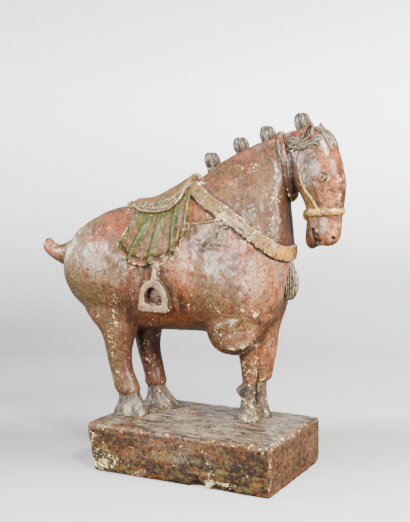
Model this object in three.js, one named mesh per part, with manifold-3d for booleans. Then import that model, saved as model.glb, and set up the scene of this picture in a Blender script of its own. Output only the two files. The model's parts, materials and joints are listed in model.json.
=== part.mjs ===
// A standing horse carved in wood, gessoed and painted, in the manner of a tomb figure. It is saddled and
// bridled, its mane is tied up in knots and its tail is docked and curled, and it is carved in one with the
// oblong block under its hooves.
// Millimetres, +Z up. The origin is the middle of the block's underside, and +X runs along the block
// towards the end that the horse faces. The horse stands at a slant on the block.
import * as THREE from "three";
import { mergeVertices } from "three/addons/utils/BufferGeometryUtils.js";
import Module from "manifold-3d";

const wasm = await Module();
wasm.setup();

// Block
const PLINTH_LENGTH = 281;
const PLINTH_WIDTH = 184;
const PLINTH_HEIGHT = 68;
const PLINTH_WEAR = 3; // how much the long edges of the block are worn away
const PLINTH_UNDERCUT = 12; // how far the tail end of the block leans in towards its foot
const GROUND_SWELL = 4; // rise of the block's top round the hooves

// Horse
const HORSE_HEIGHT = 431; // from the block's top to the top of the highest knot
const HORSE_TURN = 8.9; // degrees that the horse is turned on the block
const HORSE_ALONG = -21.3; // the horse's middle along the block
const HORSE_ACROSS = 25.5; // the horse's middle across the block
const HEAD_TURN = 8; // degrees that the head looks to the horse's right

// Carving on the horse
const STRAP_RISE = 4; // harness straps above the coat
const BREAST_STRAP_WIDTH = 20;
const COLLAR_WIDTH = 8;
const NOSEBAND_WIDTH = 8;
const CHEEK_STRAP_WIDTH = 9;
const CORD_WIDTH = 3;
const CORD_RISE = 1.5;
const CLOTH_RISE = 4; // saddle-cloth above the coat, in the bottom of its flutes
const FLUTES = 5; // flutes of the saddle-cloth on each side
const FLUTE_DEPTH = 5;
const SCALLOP = 5; // how far each flute's lobe hangs below the cloth's hem
const SEAT_RISE = 8; // saddle seat above the coat
const RIM_RISE = 3; // rim of the seat above the seat
const RIM_WIDTH = 8;
const LEATHER_WIDTH = 13;
const STIRRUP_WIDTH = 48;
const STIRRUP_HEIGHT = 48;
const STIRRUP_BAR = 12; // face of the stirrup's ring, all round its hole
const STIRRUP_THICKNESS = 9;
const KNOT_WIDTH = 21;
const EYE_WIDTH = 11;
const NOSTRIL_WIDTH = 5;
const MOUTH_DEPTH = 9;

// The tables below are drawn on a horse this tall, with z from the block's top
const DRAWN_HEIGHT = 431;
const scale = HORSE_HEIGHT / DRAWN_HEIGHT;

const RIGHT = -1;
const LEFT = 1;
const BOTH = [RIGHT, LEFT];

// A closed mesh as a solid that can be joined and cut
function solid(positions, faces) {
  const geometry = new THREE.BufferGeometry();
  geometry.setAttribute("position", new THREE.Float32BufferAttribute(positions, 3));
  geometry.setIndex(faces);
  return solidOf(geometry);
}

function solidOf(geometry) {
  const bare = geometry.clone();
  bare.deleteAttribute("normal");
  bare.deleteAttribute("uv");
  const merged = mergeVertices(bare, 1e-4);
  const vertProperties = new Float32Array(merged.attributes.position.array);
  const triVerts = new Uint32Array(merged.index.array);
  const shape = new wasm.Manifold(new wasm.Mesh({ numProp: 3, vertProperties, triVerts }));
  if (shape.volume() > 0) return shape;
  const turned = new Uint32Array(triVerts.length);
  for (let i = 0; i < triVerts.length; i += 3) {
    turned.set([triVerts[i], triVerts[i + 2], triVerts[i + 1]], i);
  }
  return new wasm.Manifold(new wasm.Mesh({ numProp: 3, vertProperties, triVerts: turned }));
}

function geometryOf(shape) {
  const mesh = shape.getMesh();
  const positions = new Float32Array(mesh.numVert * 3);
  for (let i = 0; i < mesh.numVert; i++) {
    positions.set(mesh.vertProperties.subarray(i * mesh.numProp, i * mesh.numProp + 3), i * 3);
  }
  const geometry = new THREE.BufferGeometry();
  geometry.setAttribute("position", new THREE.BufferAttribute(positions, 3));
  geometry.setIndex(new THREE.BufferAttribute(new Uint32Array(mesh.triVerts), 1));
  return geometry;
}

function union(shapes) {
  return shapes.reduce((whole, next) => whole.add(next));
}

// One slice of a limb in side view: its two edge points (a in front or on top, b behind or below), its half
// width, the place of its middle across the horse, how much it narrows towards a, and its squareness
function station(ax, az, bx, bz, half, middle = 0, narrow = 0, square = 2) {
  return { ax, az, bx, bz, half, middle, narrow, square };
}

const FIELDS = ["ax", "az", "bx", "bz", "half", "middle", "narrow", "square"];

// Slices between the stations, on smooth curves through them
function slicesOf(stations, steps) {
  const curves = FIELDS.map((field) => {
    const points = stations.map((item, i) => new THREE.Vector3(i, item[field], 0));
    return new THREE.CatmullRomCurve3(points, false, "catmullrom", 0.5);
  });
  const count = (stations.length - 1) * steps;
  return Array.from({ length: count + 1 }, (_, k) => {
    const values = curves.map((curve) => curve.getPoint(k / count).y);
    return Object.fromEntries(FIELDS.map((field, i) => [field, values[i]]));
  });
}

// The same limb, thicker by a margin all round
function grown(stations, margin) {
  return stations.map((item) => {
    const reach = Math.hypot(item.ax - item.bx, item.az - item.bz);
    const dx = ((item.ax - item.bx) / reach) * margin;
    const dz = ((item.az - item.bz) / reach) * margin;
    const edges = { ax: item.ax + dx, az: item.az + dz, bx: item.bx - dx, bz: item.bz - dz };
    return { ...item, ...edges, half: item.half + margin };
  });
}

function rounded(value, square) {
  return Math.sign(value) * Math.abs(value) ** (2 / square);
}

// Rings of equal length joined into a closed mesh, with a hub point at each end
function loft(rings, firstHub, lastHub) {
  const sides = rings[0].length;
  const positions = rings.flat().flat();
  const faces = [];
  const last = rings.length - 1;
  const hub = rings.length * sides;
  positions.push(...firstHub, ...lastHub);
  for (let j = 0; j < sides; j++) {
    const next = (j + 1) % sides;
    for (let i = 0; i < last; i++) {
      const a = i * sides + j;
      const b = i * sides + next;
      faces.push(a, b, a + sides, b, b + sides, a + sides);
    }
    faces.push(next, j, hub, last * sides + j, last * sides + next, hub + 1);
  }
  return solid(positions, faces);
}

function limb(stations, steps, sides) {
  const slices = slicesOf(stations, steps);
  const middleOf = (slice) => [(slice.ax + slice.bx) / 2, slice.middle, (slice.az + slice.bz) / 2];
  const rings = slices.map((slice) => {
    const [cx, cy, cz] = middleOf(slice);
    return Array.from({ length: sides }, (_, j) => {
      const angle = (j / sides) * 2 * Math.PI;
      const up = rounded(Math.cos(angle), slice.square);
      const out = rounded(Math.sin(angle), slice.square) * (1 - slice.narrow * Math.cos(angle));
      return [cx + ((slice.ax - slice.bx) / 2) * up, cy + slice.half * out, cz + ((slice.az - slice.bz) / 2) * up];
    });
  });
  return loft(rings, middleOf(slices[0]), middleOf(slices[slices.length - 1]));
}

// A side outline pushed through the horse, from one place across to another
function through(outline, from, to) {
  const shape = new THREE.Shape(outline.map(([x, z]) => new THREE.Vector2(x, z)));
  const geometry = new THREE.ExtrudeGeometry(shape, { depth: to - from, bevelEnabled: false });
  geometry.rotateX(Math.PI / 2);
  geometry.translate(0, to, 0);
  return solidOf(mergeVertices(geometry, 1e-4));
}

// The side outline of a strap of one width along a line
function band(line, width) {
  const offset = (side) =>
    line.map(([x, z], i) => {
      const [px, pz] = line[Math.max(0, i - 1)];
      const [nx, nz] = line[Math.min(line.length - 1, i + 1)];
      const run = Math.hypot(nx - px, nz - pz);
      return [x - ((nz - pz) / run) * side, z + ((nx - px) / run) * side];
    });
  return [...offset(width / 2), ...offset(-width / 2).reverse()];
}

function egg(x, y, z, rx, ry, rz, sides = 10) {
  const geometry = new THREE.SphereGeometry(1, sides, Math.max(5, Math.round(sides * 0.6)));
  geometry.rotateX(Math.PI / 2);
  geometry.scale(rx, ry, rz);
  const shape = solidOf(geometry);
  return shape.translate([x, y, z]);
}

// The trunk runs from the rump through the barrel and the chest into the neck
const TRUNK = [
  station(-204, 216, -204, 206, 8),
  station(-203, 234, -202, 189, 27),
  station(-197, 251, -195, 172, 42),
  station(-186, 267, -181, 155, 52),
  station(-170, 279, -163, 140, 59),
  station(-147, 291, -144, 127, 65),
  station(-118, 301, -118, 121, 68),
  station(-88, 303, -88, 121, 70),
  station(-58, 308, -56, 122, 70),
  station(-32, 321, -22, 122, 69),
  station(-10, 334, 10, 122, 67, 0, 0.08, 2.1),
  station(12, 348, 42, 117, 65, 0, 0.14, 2.3),
  station(34, 364, 74, 116, 62, 0, 0.2, 2.5),
  station(58, 377, 100, 128, 58, 0, 0.22, 2.5),
  station(80, 387, 121, 158, 53, 0, 0.22, 2.4),
  station(97, 394, 131, 198, 46, 0, 0.2, 2.2),
  station(108, 398, 136, 240, 38, 0, 0.15, 2.1),
  station(116, 401, 132, 262, 33, 0, 0.1),
  station(124, 404, 130, 285, 30),
  station(132, 406, 132, 305, 27),
  station(142, 408, 146, 326, 22),
];

const HEAD = [
  station(168, 411, 142, 406, 12, 0, 0, 2.4),
  station(181, 406, 131, 394, 22, 0, 0.05, 2.4),
  station(192, 396, 127, 378, 26, 0, 0.1, 2.6),
  station(200, 380, 130, 361, 28, 0, 0.12, 2.8),
  station(206, 361, 136, 345, 29, 0, 0.14, 2.8),
  station(210, 341, 144, 329, 28, 0, 0.14, 2.8),
  station(211, 322, 152, 316, 24, 0, 0.1, 2.5),
  station(210, 306, 157, 303, 20, 0, 0.06, 2.4),
  station(208, 292, 159, 290, 18.5, 0, 0, 2.3),
  station(207, 278, 158, 277, 19, 0, 0, 2.3),
  station(206, 266, 157, 266, 19.5, 0, 0, 2.3),
  station(203, 256, 162, 255, 17, 0, 0, 2.3),
  station(196, 249, 171, 249, 9, 0, 0, 2.3),
];
const HEAD_PIVOT = 132;

const TAIL = [
  station(-192, 256, -196, 205, 17),
  station(-207, 249, -213, 210, 15),
  station(-217, 244, -227, 217, 13),
  station(-224, 242, -240, 225, 11.5),
  station(-230, 245, -250, 235, 10),
  station(-235, 250, -251, 244, 8.5),
  station(-238, 254, -246, 252, 5),
];

const HIND_RIGHT = [
  station(-78, 190, -160, 182, 20, -28),
  station(-68, 165, -168, 158, 26, -30),
  station(-79, 141, -156, 137, 27, -30),
  station(-88, 117, -138, 117, 24, -31),
  station(-94, 90, -131, 90, 20, -31),
  station(-92, 66, -125, 66, 17, -31),
  station(-85, 46, -120, 46, 16.5, -31),
  station(-81, 36, -118, 36, 17, -31),
  station(-83, 30, -114, 30, 14.5, -31),
  station(-78, 20, -114, 20, 15, -31),
  station(-72, 8, -119, 8, 18, -31),
  station(-66, -5, -123, -5, 22, -31),
];

const HIND_LEFT = [
  station(-68, 190, -150, 182, 20, 28),
  station(-55, 165, -152, 158, 26, 30),
  station(-63, 141, -134, 136, 27, 31),
  station(-70, 117, -115, 112, 24, 30),
  station(-73, 92, -109.5, 90, 20, 29),
  station(-69, 66, -102, 66, 17, 29),
  station(-65, 46, -97, 46, 16.5, 29),
  station(-63, 37, -96, 36, 17, 29),
  station(-65, 31, -92, 30, 14.5, 29),
  station(-57, 20, -92, 20, 15, 29),
  station(-46, 8, -96, 8, 18, 29),
  station(-36, -5, -100, -5, 22, 29),
];

const FORE_RIGHT = [
  station(94, 135, 54, 125, 17, -19),
  station(88, 108, 62, 100, 14, -17),
  station(86, 84, 65, 84, 12, -16),
  station(84.5, 66, 68, 66, 11, -15),
  station(84, 54, 69, 54, 11.5, -15),
  station(83, 49, 64, 49, 10.5, -15),
  station(83, 42, 59, 42, 10, -15),
  station(83, 32, 66, 32, 10, -15),
  station(86, 20, 66, 22, 12, -15),
  station(91, 8, 63, 8, 14, -15),
  station(97, -5, 61, -5, 17, -15),
];

const FORE_LEFT = [
  station(128, 170, 62, 140, 24, 22),
  station(115, 128, 70, 112, 19, 18),
  station(112, 99, 74, 92, 15, 15),
  station(108, 78, 76, 76, 14, 15),
  station(104.5, 60, 78, 60, 14, 15),
  station(102, 55, 79, 54, 14, 15),
  station(96, 50, 78, 50, 11.5, 15),
  station(97, 33, 76, 36, 11, 15),
  station(98, 22, 77, 22, 12, 15),
  station(102, 8, 74, 8, 14, 15),
  station(110, -5, 72, -5, 17, 15),
];

// Shoulder and elbow, which swell over the forelegs
const SHOULDER = [
  station(90, 222, 44, 216, 13, 33),
  station(96, 190, 30, 184, 19, 34),
  station(99, 160, 21, 152, 21.5, 34.5),
  station(98, 132, 23, 124, 20.5, 34.5),
  station(95, 114, 32, 107, 18, 34),
  station(86, 102, 44, 98, 13, 33),
  station(74, 96, 56, 95, 6, 32),
];

// Half width of the trunk at a place in its side view
const trunkSlices = slicesOf(TRUNK, 2);

function widthOn(slice, x, z) {
  const rx = slice.ax - slice.bx;
  const rz = slice.az - slice.bz;
  const along = ((x - slice.bx) * rx + (z - slice.bz) * rz) / (rx * rx + rz * rz);
  const up = Math.max(-1, Math.min(1, 2 * along - 1));
  const cos = Math.sign(up) * Math.abs(up) ** (slice.square / 2);
  return slice.half * rounded(Math.sqrt(1 - cos * cos), slice.square) * (1 - slice.narrow * cos);
}

function flank(x, z) {
  const sideOf = ({ ax, az, bx, bz }) => ((x - bx) * (az - bz) - (z - bz) * (ax - bx)) / Math.hypot(ax - bx, az - bz);
  const ahead = trunkSlices.findIndex((slice) => sideOf(slice) < 0);
  if (ahead < 1) return 0;
  const [behind, front] = [trunkSlices[ahead - 1], trunkSlices[ahead]];
  const share = sideOf(behind) / (sideOf(behind) - sideOf(front));
  return widthOn(behind, x, z) * (1 - share) + widthOn(front, x, z) * share;
}

// A saddle-cloth panel: flutes fan out from the seat down to a scalloped hem
const CLOTH_TOP = [[-77, 293], [-56, 291], [-36, 295], [-17, 309], [-1, 336]];
const CLOTH_HEM = [[-97, 246], [-82, 229], [-57, 220], [-24, 233], [-2, 271]];
const UNDER_COAT = 6; // how deep pieces laid on the coat reach into it

function curveOf(points) {
  return new THREE.SplineCurve(points.map(([x, z]) => new THREE.Vector2(x, z)));
}

function clothPanel(side) {
  const top = curveOf(CLOTH_TOP);
  const hem = curveOf(CLOTH_HEM);
  const columns = FLUTES * 4;
  const rows = 5;
  const outer = [];
  const inner = [];
  for (let i = 0; i <= columns; i++) {
    const across = i / columns;
    const ridge = 0.5 - 0.5 * Math.cos(2 * Math.PI * FLUTES * across);
    const start = top.getPoint(across);
    const end = hem.getPoint(across);
    const drop = end.clone().sub(start);
    end.add(drop.setLength(SCALLOP * ridge));
    for (let j = 0; j <= rows; j++) {
      const down = j / rows;
      const x = start.x + (end.x - start.x) * down;
      const z = start.y + (end.y - start.y) * down;
      const lift = CLOTH_RISE + FLUTE_DEPTH * ridge * (0.35 + 0.65 * down);
      const coat = flank(x, z);
      outer.push([x, side * (coat + lift), z]);
      inner.push([x, side * (coat - UNDER_COAT), z]);
    }
  }
  return sheet(outer, inner, columns, rows);
}

// A closed slab between two grids of points
function sheet(outer, inner, columns, rows) {
  const shift = outer.length;
  const positions = [...outer, ...inner].flat();
  const at = (i, j) => i * (rows + 1) + j;
  const faces = [];
  const quad = (a, b, c, d) => faces.push(a, b, c, a, c, d);
  for (let i = 0; i < columns; i++) {
    for (let j = 0; j < rows; j++) {
      quad(at(i, j), at(i + 1, j), at(i + 1, j + 1), at(i, j + 1));
      quad(shift + at(i, j), shift + at(i, j + 1), shift + at(i + 1, j + 1), shift + at(i + 1, j));
    }
    quad(at(i, 0), shift + at(i, 0), shift + at(i + 1, 0), at(i + 1, 0));
    quad(at(i, rows), at(i + 1, rows), shift + at(i + 1, rows), shift + at(i, rows));
  }
  for (let j = 0; j < rows; j++) {
    quad(at(0, j), at(0, j + 1), shift + at(0, j + 1), shift + at(0, j));
    quad(at(columns, j), shift + at(columns, j), shift + at(columns, j + 1), at(columns, j + 1));
  }
  return solid(positions, faces);
}

// The seat lies over the cloth and the back, with a standing rim round it
const SEAT = [
  [-104, 300], [-98, 335], [-60, 335], [-20, 365], [-2, 372], [1, 345], [-3, 329], [-13, 306], [-27, 294],
  [-50, 289], [-74, 290], [-88, 295],
];

// A closed outline moved inwards by a width
function inset(outline, width) {
  return outline.map(([x, z], i) => {
    const [px, pz] = outline[(i + outline.length - 1) % outline.length];
    const [nx, nz] = outline[(i + 1) % outline.length];
    const run = Math.hypot(nx - px, nz - pz);
    return [x + ((nz - pz) / run) * width, z - ((nx - px) / run) * width];
  });
}

function seat() {
  const wide = 90;
  const base = limb(grown(TRUNK, SEAT_RISE), 1, 20).intersect(through(SEAT, -wide, wide));
  const ring = through(SEAT, -wide, wide).subtract(through(inset(SEAT, RIM_WIDTH), -wide, wide));
  return base.add(limb(grown(TRUNK, SEAT_RISE + RIM_RISE), 1, 20).intersect(ring));
}

const STIRRUP_TOP = [-40, 203];

function stirrup(side) {
  const [x, top] = STIRRUP_TOP;
  const half = STIRRUP_WIDTH / 2;
  const foot = top - STIRRUP_HEIGHT;
  const arch = (inset) => {
    const width = half - inset;
    const low = foot + inset * 0.8;
    const high = top - inset * 1.2;
    return [
      [x - width, low], [x + width, low], [x + width * 0.96, low + (high - low) * 0.5],
      [x + width * 0.7, low + (high - low) * 0.82], [x + width * 0.25, high], [x - width * 0.25, high],
      [x - width * 0.7, low + (high - low) * 0.82], [x - width * 0.96, low + (high - low) * 0.5],
    ];
  };
  const back = flank(x, top) + 1;
  const edges = [side * back, side * (back + STIRRUP_THICKNESS)].sort((a, b) => a - b);
  const ring = through(arch(0), ...edges).subtract(through(arch(STIRRUP_BAR), edges[0] - 1, edges[1] + 1));
  const strap = [[x - LEATHER_WIDTH / 2, top - STIRRUP_BAR / 2], [x + LEATHER_WIDTH / 2, top - STIRRUP_BAR / 2],
    [x + LEATHER_WIDTH / 2, 228], [x - LEATHER_WIDTH / 2, 228]];
  const reach = [side * (back - UNDER_COAT), side * (back + STIRRUP_THICKNESS / 2)].sort((a, b) => a - b);
  return ring.add(through(strap, ...reach));
}

// Straps that lie on a limb
function strapOn(stations, steps, sides, line, width, rise) {
  return limb(grown(stations, rise), steps, sides).intersect(through(band(line, width), -90, 90));
}

const BREAST_STRAP = [[6, 326], [29, 309], [59, 291], [86, 270], [109, 254], [128, 240], [150, 235]];
const COLLAR = [[112, 420], [121, 396], [131, 368], [135, 342], [138, 318], [142, 300]];
const CORD = [[-6, 278], [20, 280], [48, 285]];
const NOSEBAND = [[140, 293.5], [220, 297]];
const CHEEK_STRAP = [[154, 336], [166, 316], [176, 296]];

function knot(x, z, height) {
  const body = egg(x, 0, z, KNOT_WIDTH / 2, KNOT_WIDTH / 2, height / 2, 10);
  const stem = egg(x + 3, 0, z - height / 2, KNOT_WIDTH / 2.3, KNOT_WIDTH / 2.6, 8, 8);
  return body.add(stem);
}

function tassel(side) {
  const drop = egg(0, 0, 0, 8, 5, 23, 10).rotate([0, 38, 0]);
  return drop.translate([40, side * flank(40, 257), 257]);
}

function ear(side) {
  const stations = [
    station(177, 392, 160, 390, 7, side * 19),
    station(178, 402, 161, 400, 6.5, side * 19.5),
    station(176, 410, 165, 409, 4.5, side * 20),
    station(172, 417, 169, 416, 1.5, side * 20),
  ];
  const hollow = egg(174, side * 24, 402, 2.5, 4, 9, 8);
  return limb(stations, 1, 10).subtract(hollow);
}

function head() {
  let whole = limb(HEAD, 2, 16);
  whole = whole.add(strapOn(HEAD, 2, 16, NOSEBAND, NOSEBAND_WIDTH, STRAP_RISE * 0.5));
  whole = whole.add(strapOn(HEAD, 2, 16, CHEEK_STRAP, CHEEK_STRAP_WIDTH, STRAP_RISE * 0.5));
  const lips = [[171, 272], [175, 272], [182, 260], [186, 242], [177, 242], [173, 258]];
  BOTH.forEach((side) => {
    const lip = [side * (19 - MOUTH_DEPTH), side * 30].sort((a, b) => a - b);
    whole = whole.add(ear(side));
    whole = whole.add(egg(152, side * 20, 387, 20, 9, 9, 8));
    whole = whole.add(egg(188.5, side * 25.5, 342, EYE_WIDTH / 2, 3.5, EYE_WIDTH / 2, 10));
    whole = whole.subtract(egg(200, side * 17, 261, NOSTRIL_WIDTH / 2, NOSTRIL_WIDTH, NOSTRIL_WIDTH / 2, 8));
    whole = whole.subtract(through(lips, ...lip));
  });
  whole = whole.add(egg(157, 0, 291, 5, 8, 8, 8));
  whole = whole.add(knot(150, 417, 27));
  return whole.translate([-HEAD_PIVOT, 0, 0]).rotate([0, 0, -HEAD_TURN]).translate([HEAD_PIVOT, 0, 0]);
}

function legs() {
  return union([
    ...[HIND_RIGHT, HIND_LEFT, FORE_RIGHT, FORE_LEFT].map((leg) => limb(leg, 1, 14)),
    ...BOTH.map((side) => limb(SHOULDER.map((item) => ({ ...item, middle: side * item.middle })), 1, 16)),
  ]);
}

function horse() {
  const neckAndBarrel = limb(TRUNK, 2, 24);
  return union([
    neckAndBarrel,
    legs(),
    limb(TAIL, 1, 12),
    head(),
    strapOn(TRUNK, 2, 24, BREAST_STRAP, BREAST_STRAP_WIDTH, STRAP_RISE),
    strapOn(TRUNK, 2, 24, COLLAR, COLLAR_WIDTH, STRAP_RISE),
    strapOn(TRUNK, 2, 24, CORD, CORD_WIDTH, CORD_RISE),
    seat(),
    egg(133, 0, 199, 9, 12, 26, 10),
    knot(19.5, 366, 25),
    knot(62, 387, 24),
    knot(100.5, 401, 26),
    ...BOTH.flatMap((side) => [clothPanel(side), stirrup(side), tassel(side)]),
  ]);
}

// The block: level underside, worn edges, the tail end leaning in towards its foot, and its top swelling up
// to the hooves
function plinth() {
  const places = [0, 0.015, 0.13, 0.25, 0.4, 0.55, 0.7, 0.8, 0.9, 0.985, 1];
  const swellAt = (x, y) =>
    GROUND_SWELL * Math.exp(-(((x - 58) / 42) ** 2) - ((y - 38) / 38) ** 2)
    + GROUND_SWELL * 0.5 * Math.exp(-(((x + 104) / 42) ** 2) - ((y - 12) / 50) ** 2);
  const rings = places.map((place) => {
    const end = place === 0 || place === 1 ? PLINTH_WEAR : 0;
    const x = (place - 0.5) * PLINTH_LENGTH;
    const lean = PLINTH_UNDERCUT * (1 - place) ** 4;
    const y = PLINTH_WIDTH / 2 - end;
    const top = PLINTH_HEIGHT - end;
    const w = PLINTH_WEAR;
    const across = [0.75, 0.45, 0.15, -0.15, -0.45, -0.75].map((share) => {
      const along = share * y;
      return [x, along, top + swellAt(x, along)];
    });
    return [
      [x, -y + w, top], [x, -y, top - w], [x + lean, -y, end + w], [x + lean, -y + w, end],
      [x + lean, y - w, end], [x + lean, y, end + w], [x, y, top - w], [x, y - w, top], ...across,
    ];
  });
  const middleOf = (ring) => [0, 1, 2].map((k) => ring.reduce((sum, point) => sum + point[k], 0) / ring.length);
  return loft(rings, middleOf(rings[0]), middleOf(rings[rings.length - 1]));
}

const figure = horse()
  .scale(scale)
  .rotate([0, 0, HORSE_TURN])
  .translate([HORSE_ALONG, HORSE_ACROSS, PLINTH_HEIGHT]);

const paintedWood = new THREE.MeshStandardMaterial({
  name: "painted wood", color: 0x8a5a44, roughness: 0.75, metalness: 0,
});
// Joining leaves slivers, and those flatter than this are merged into their neighbours
const SLIVER = 0.1;

const carving = new THREE.Mesh(geometryOf(plinth().add(figure).asOriginal().simplify(SLIVER)), paintedWood);
carving.name = "horse_on_plinth";

const statue = new THREE.Group();
statue.add(carving);
export default statue;
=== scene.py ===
"""A saddled horse on its block, carved in wood, gessoed and painted, in the manner of a tomb figure.

The horse is drawn in its own frame: s forward, t to its left and z up from the block's top, in millimetres.
It is then scaled to its height, turned on the block and moved to its place, in metres.
"""

import json
import math
from functools import partial

import bmesh
import bpy
import numpy as np
from bpy.props import FloatProperty, FloatVectorProperty, IntProperty, PointerProperty
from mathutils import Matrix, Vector
from mathutils.kdtree import KDTree

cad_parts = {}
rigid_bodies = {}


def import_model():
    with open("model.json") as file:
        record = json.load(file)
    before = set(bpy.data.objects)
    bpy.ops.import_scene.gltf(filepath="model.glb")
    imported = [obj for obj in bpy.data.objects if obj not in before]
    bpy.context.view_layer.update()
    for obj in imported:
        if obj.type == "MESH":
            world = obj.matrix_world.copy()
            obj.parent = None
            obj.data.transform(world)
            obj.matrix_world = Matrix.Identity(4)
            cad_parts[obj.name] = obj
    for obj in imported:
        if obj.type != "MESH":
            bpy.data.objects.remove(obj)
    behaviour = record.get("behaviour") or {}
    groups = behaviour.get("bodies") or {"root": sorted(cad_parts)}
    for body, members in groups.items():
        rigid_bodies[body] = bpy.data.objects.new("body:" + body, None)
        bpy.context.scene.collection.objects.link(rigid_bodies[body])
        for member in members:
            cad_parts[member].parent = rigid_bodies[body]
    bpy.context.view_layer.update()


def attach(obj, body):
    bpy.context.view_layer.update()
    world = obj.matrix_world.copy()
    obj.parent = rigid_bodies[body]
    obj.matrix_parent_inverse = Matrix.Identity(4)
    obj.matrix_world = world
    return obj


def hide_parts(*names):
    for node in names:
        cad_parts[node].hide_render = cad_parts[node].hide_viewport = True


bl_info = {
    "name": "Carved Tomb Horse",
    "version": (1, 0, 0),
    "blender": (4, 5, 0),
    "location": "View3D > Sidebar > Tomb Horse",
    "description": "A saddled horse on its block, carved in wood and painted over gesso",
    "category": "Add Mesh",
}

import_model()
NODE = "horse_on_plinth"
BODY = "root"

MM = 1000
# Height of the horse in its own frame, and where along it the head turns on the neck
DRAWN_HEIGHT = 431
HEAD_PIVOT = 132
RIGHT, LEFT = -1, 1
BOTH = (RIGHT, LEFT)

# How deep a strap's skin lies under the coat where there is no strap
SUNK = -6.0
# Edge of a remesh's cells while the body's limbs are joined, and in the block
BODY_CELL = 0.002
BLOCK_CELL = 0.0016
# Shells with fewer points than this are loose specks that a remesh has left
SPECK_POINTS = 100
# Edge of the cells in which one carving counts as touching another
SHADE_AND_DIRT_REACH = 0.0022
# Each carving is darkened where these others meet it: painted shade along the join, and dirt
TOUCHING = {
    "carved_horse": ("saddle_cloth", "stirrups", "tassels", "carved_block"),
    "carved_block": ("carved_horse",),
}

# Finishes that a point of the carving can carry
FINISHES = ("coat", "cloth", "seat", "strap", "gilt", "hair", "hoof", "block", "stone")


def linear_colour(code):
    """An sRGB hex colour as a linear one"""
    shares = [int(code[i : i + 2], 16) / 255 for i in (1, 3, 5)]
    return [c / 12.92 if c <= 0.04045 else ((c + 0.055) / 1.055) ** 2.4 for c in shares] + [1.0]


def length(name, description, millimetres):
    metres = millimetres / MM
    return FloatProperty(name=name, description=description, default=metres, unit="LENGTH", precision=4)


def degrees(name, description, number):
    return FloatProperty(name=name, description=description, default=math.radians(number), subtype="ANGLE")


def whole(name, description, number):
    return IntProperty(name=name, description=description, default=number, min=1)


def colour(name, description, code):
    return FloatVectorProperty(
        name=name, description=description, default=linear_colour(code), size=4, subtype="COLOR", min=0, max=1
    )


class HorseSizes(bpy.types.PropertyGroup):
    height: length("Height", "From the block's top to the top of the highest knot of hair", 431)
    turn: degrees("Turn", "How far the horse is turned on the block", 8.9)
    head_turn: degrees("Head turn", "How far the head looks to its right", 8)
    along: length("Along", "The horse's middle along the block", -21.3)
    across: length("Across", "The horse's middle across the block", 25.5)
    knot_width: length("Knot width", "Knots of mane along the crest", 21)
    eye_width: length("Eye width", "Eye without its lids", 11)
    nostril_width: length("Nostril width", "Bored nostril", 5.4)
    mouth_depth: length("Mouth depth", "How deep the mouth is cut in from each side", 9)


class TackSizes(bpy.types.PropertyGroup):
    strap_rise: length("Strap rise", "Harness straps above the coat", 4)
    breast_strap: length("Breast strap", "Width of the breast strap", 20)
    collar: length("Collar", "Width of the throat strap", 11)
    noseband: length("Noseband", "Width of the noseband", 8)
    cheek_strap: length("Cheek strap", "Width of the line along the cheek strap's front edge", 3)
    cord: length("Cord", "Width of the cord in front of the saddle", 3)
    cloth_rise: length("Cloth rise", "Saddle-cloth above the coat", 4)
    flute_depth: length("Flute depth", "How far the ridges between the cloth's flutes stand out", 6.5)
    flutes: whole("Flutes", "Hollow flutes on each side of the saddle-cloth", 4)
    scallop: length("Scallop", "How far each flute hangs below the hem", 8)
    hem: length("Hem", "How far the rolled hem stands out beyond the cloth", 5)
    seat_rise: length("Seat rise", "Saddle seat above the coat", 10.5)
    band_rise: length("Band rise", "Moulded band under the seat, above the coat", 6.5)
    stirrup_width: length("Stirrup width", "Over the ring", 42)
    stirrup_height: length("Stirrup height", "Over the ring", 46)
    stirrup_bar: length("Stirrup bar", "Face of the stirrup's ring", 10)
    stirrup_thickness: length("Stirrup thickness", "How far the ring stands out", 13)
    leather: length("Leather", "Width of the stirrup leather", 10)


class BlockSizes(bpy.types.PropertyGroup):
    length: length("Length", "Along the horse", 281)
    width: length("Width", "Across the horse", 184)
    height: length("Height", "Under the hooves", 68)
    wear: length("Wear", "How much the edges are worn away", 3)
    undercut: length("Undercut", "How far the tail end leans in towards its foot", 12)
    swell: length("Swell", "Rise of the top round the hooves", 4)


class SurfaceSizes(bpy.types.PropertyGroup):
    cut: length("Cut", "Smallest tool mark that the carving keeps", 1.3)
    modelling: length("Modelling", "Unevenness of the hand-carved surface", 0.8)
    horse_triangles: whole("Horse triangles", "Most triangles in the horse", 197000)
    block_triangles: whole("Block triangles", "Most triangles in the block", 120000)


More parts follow.
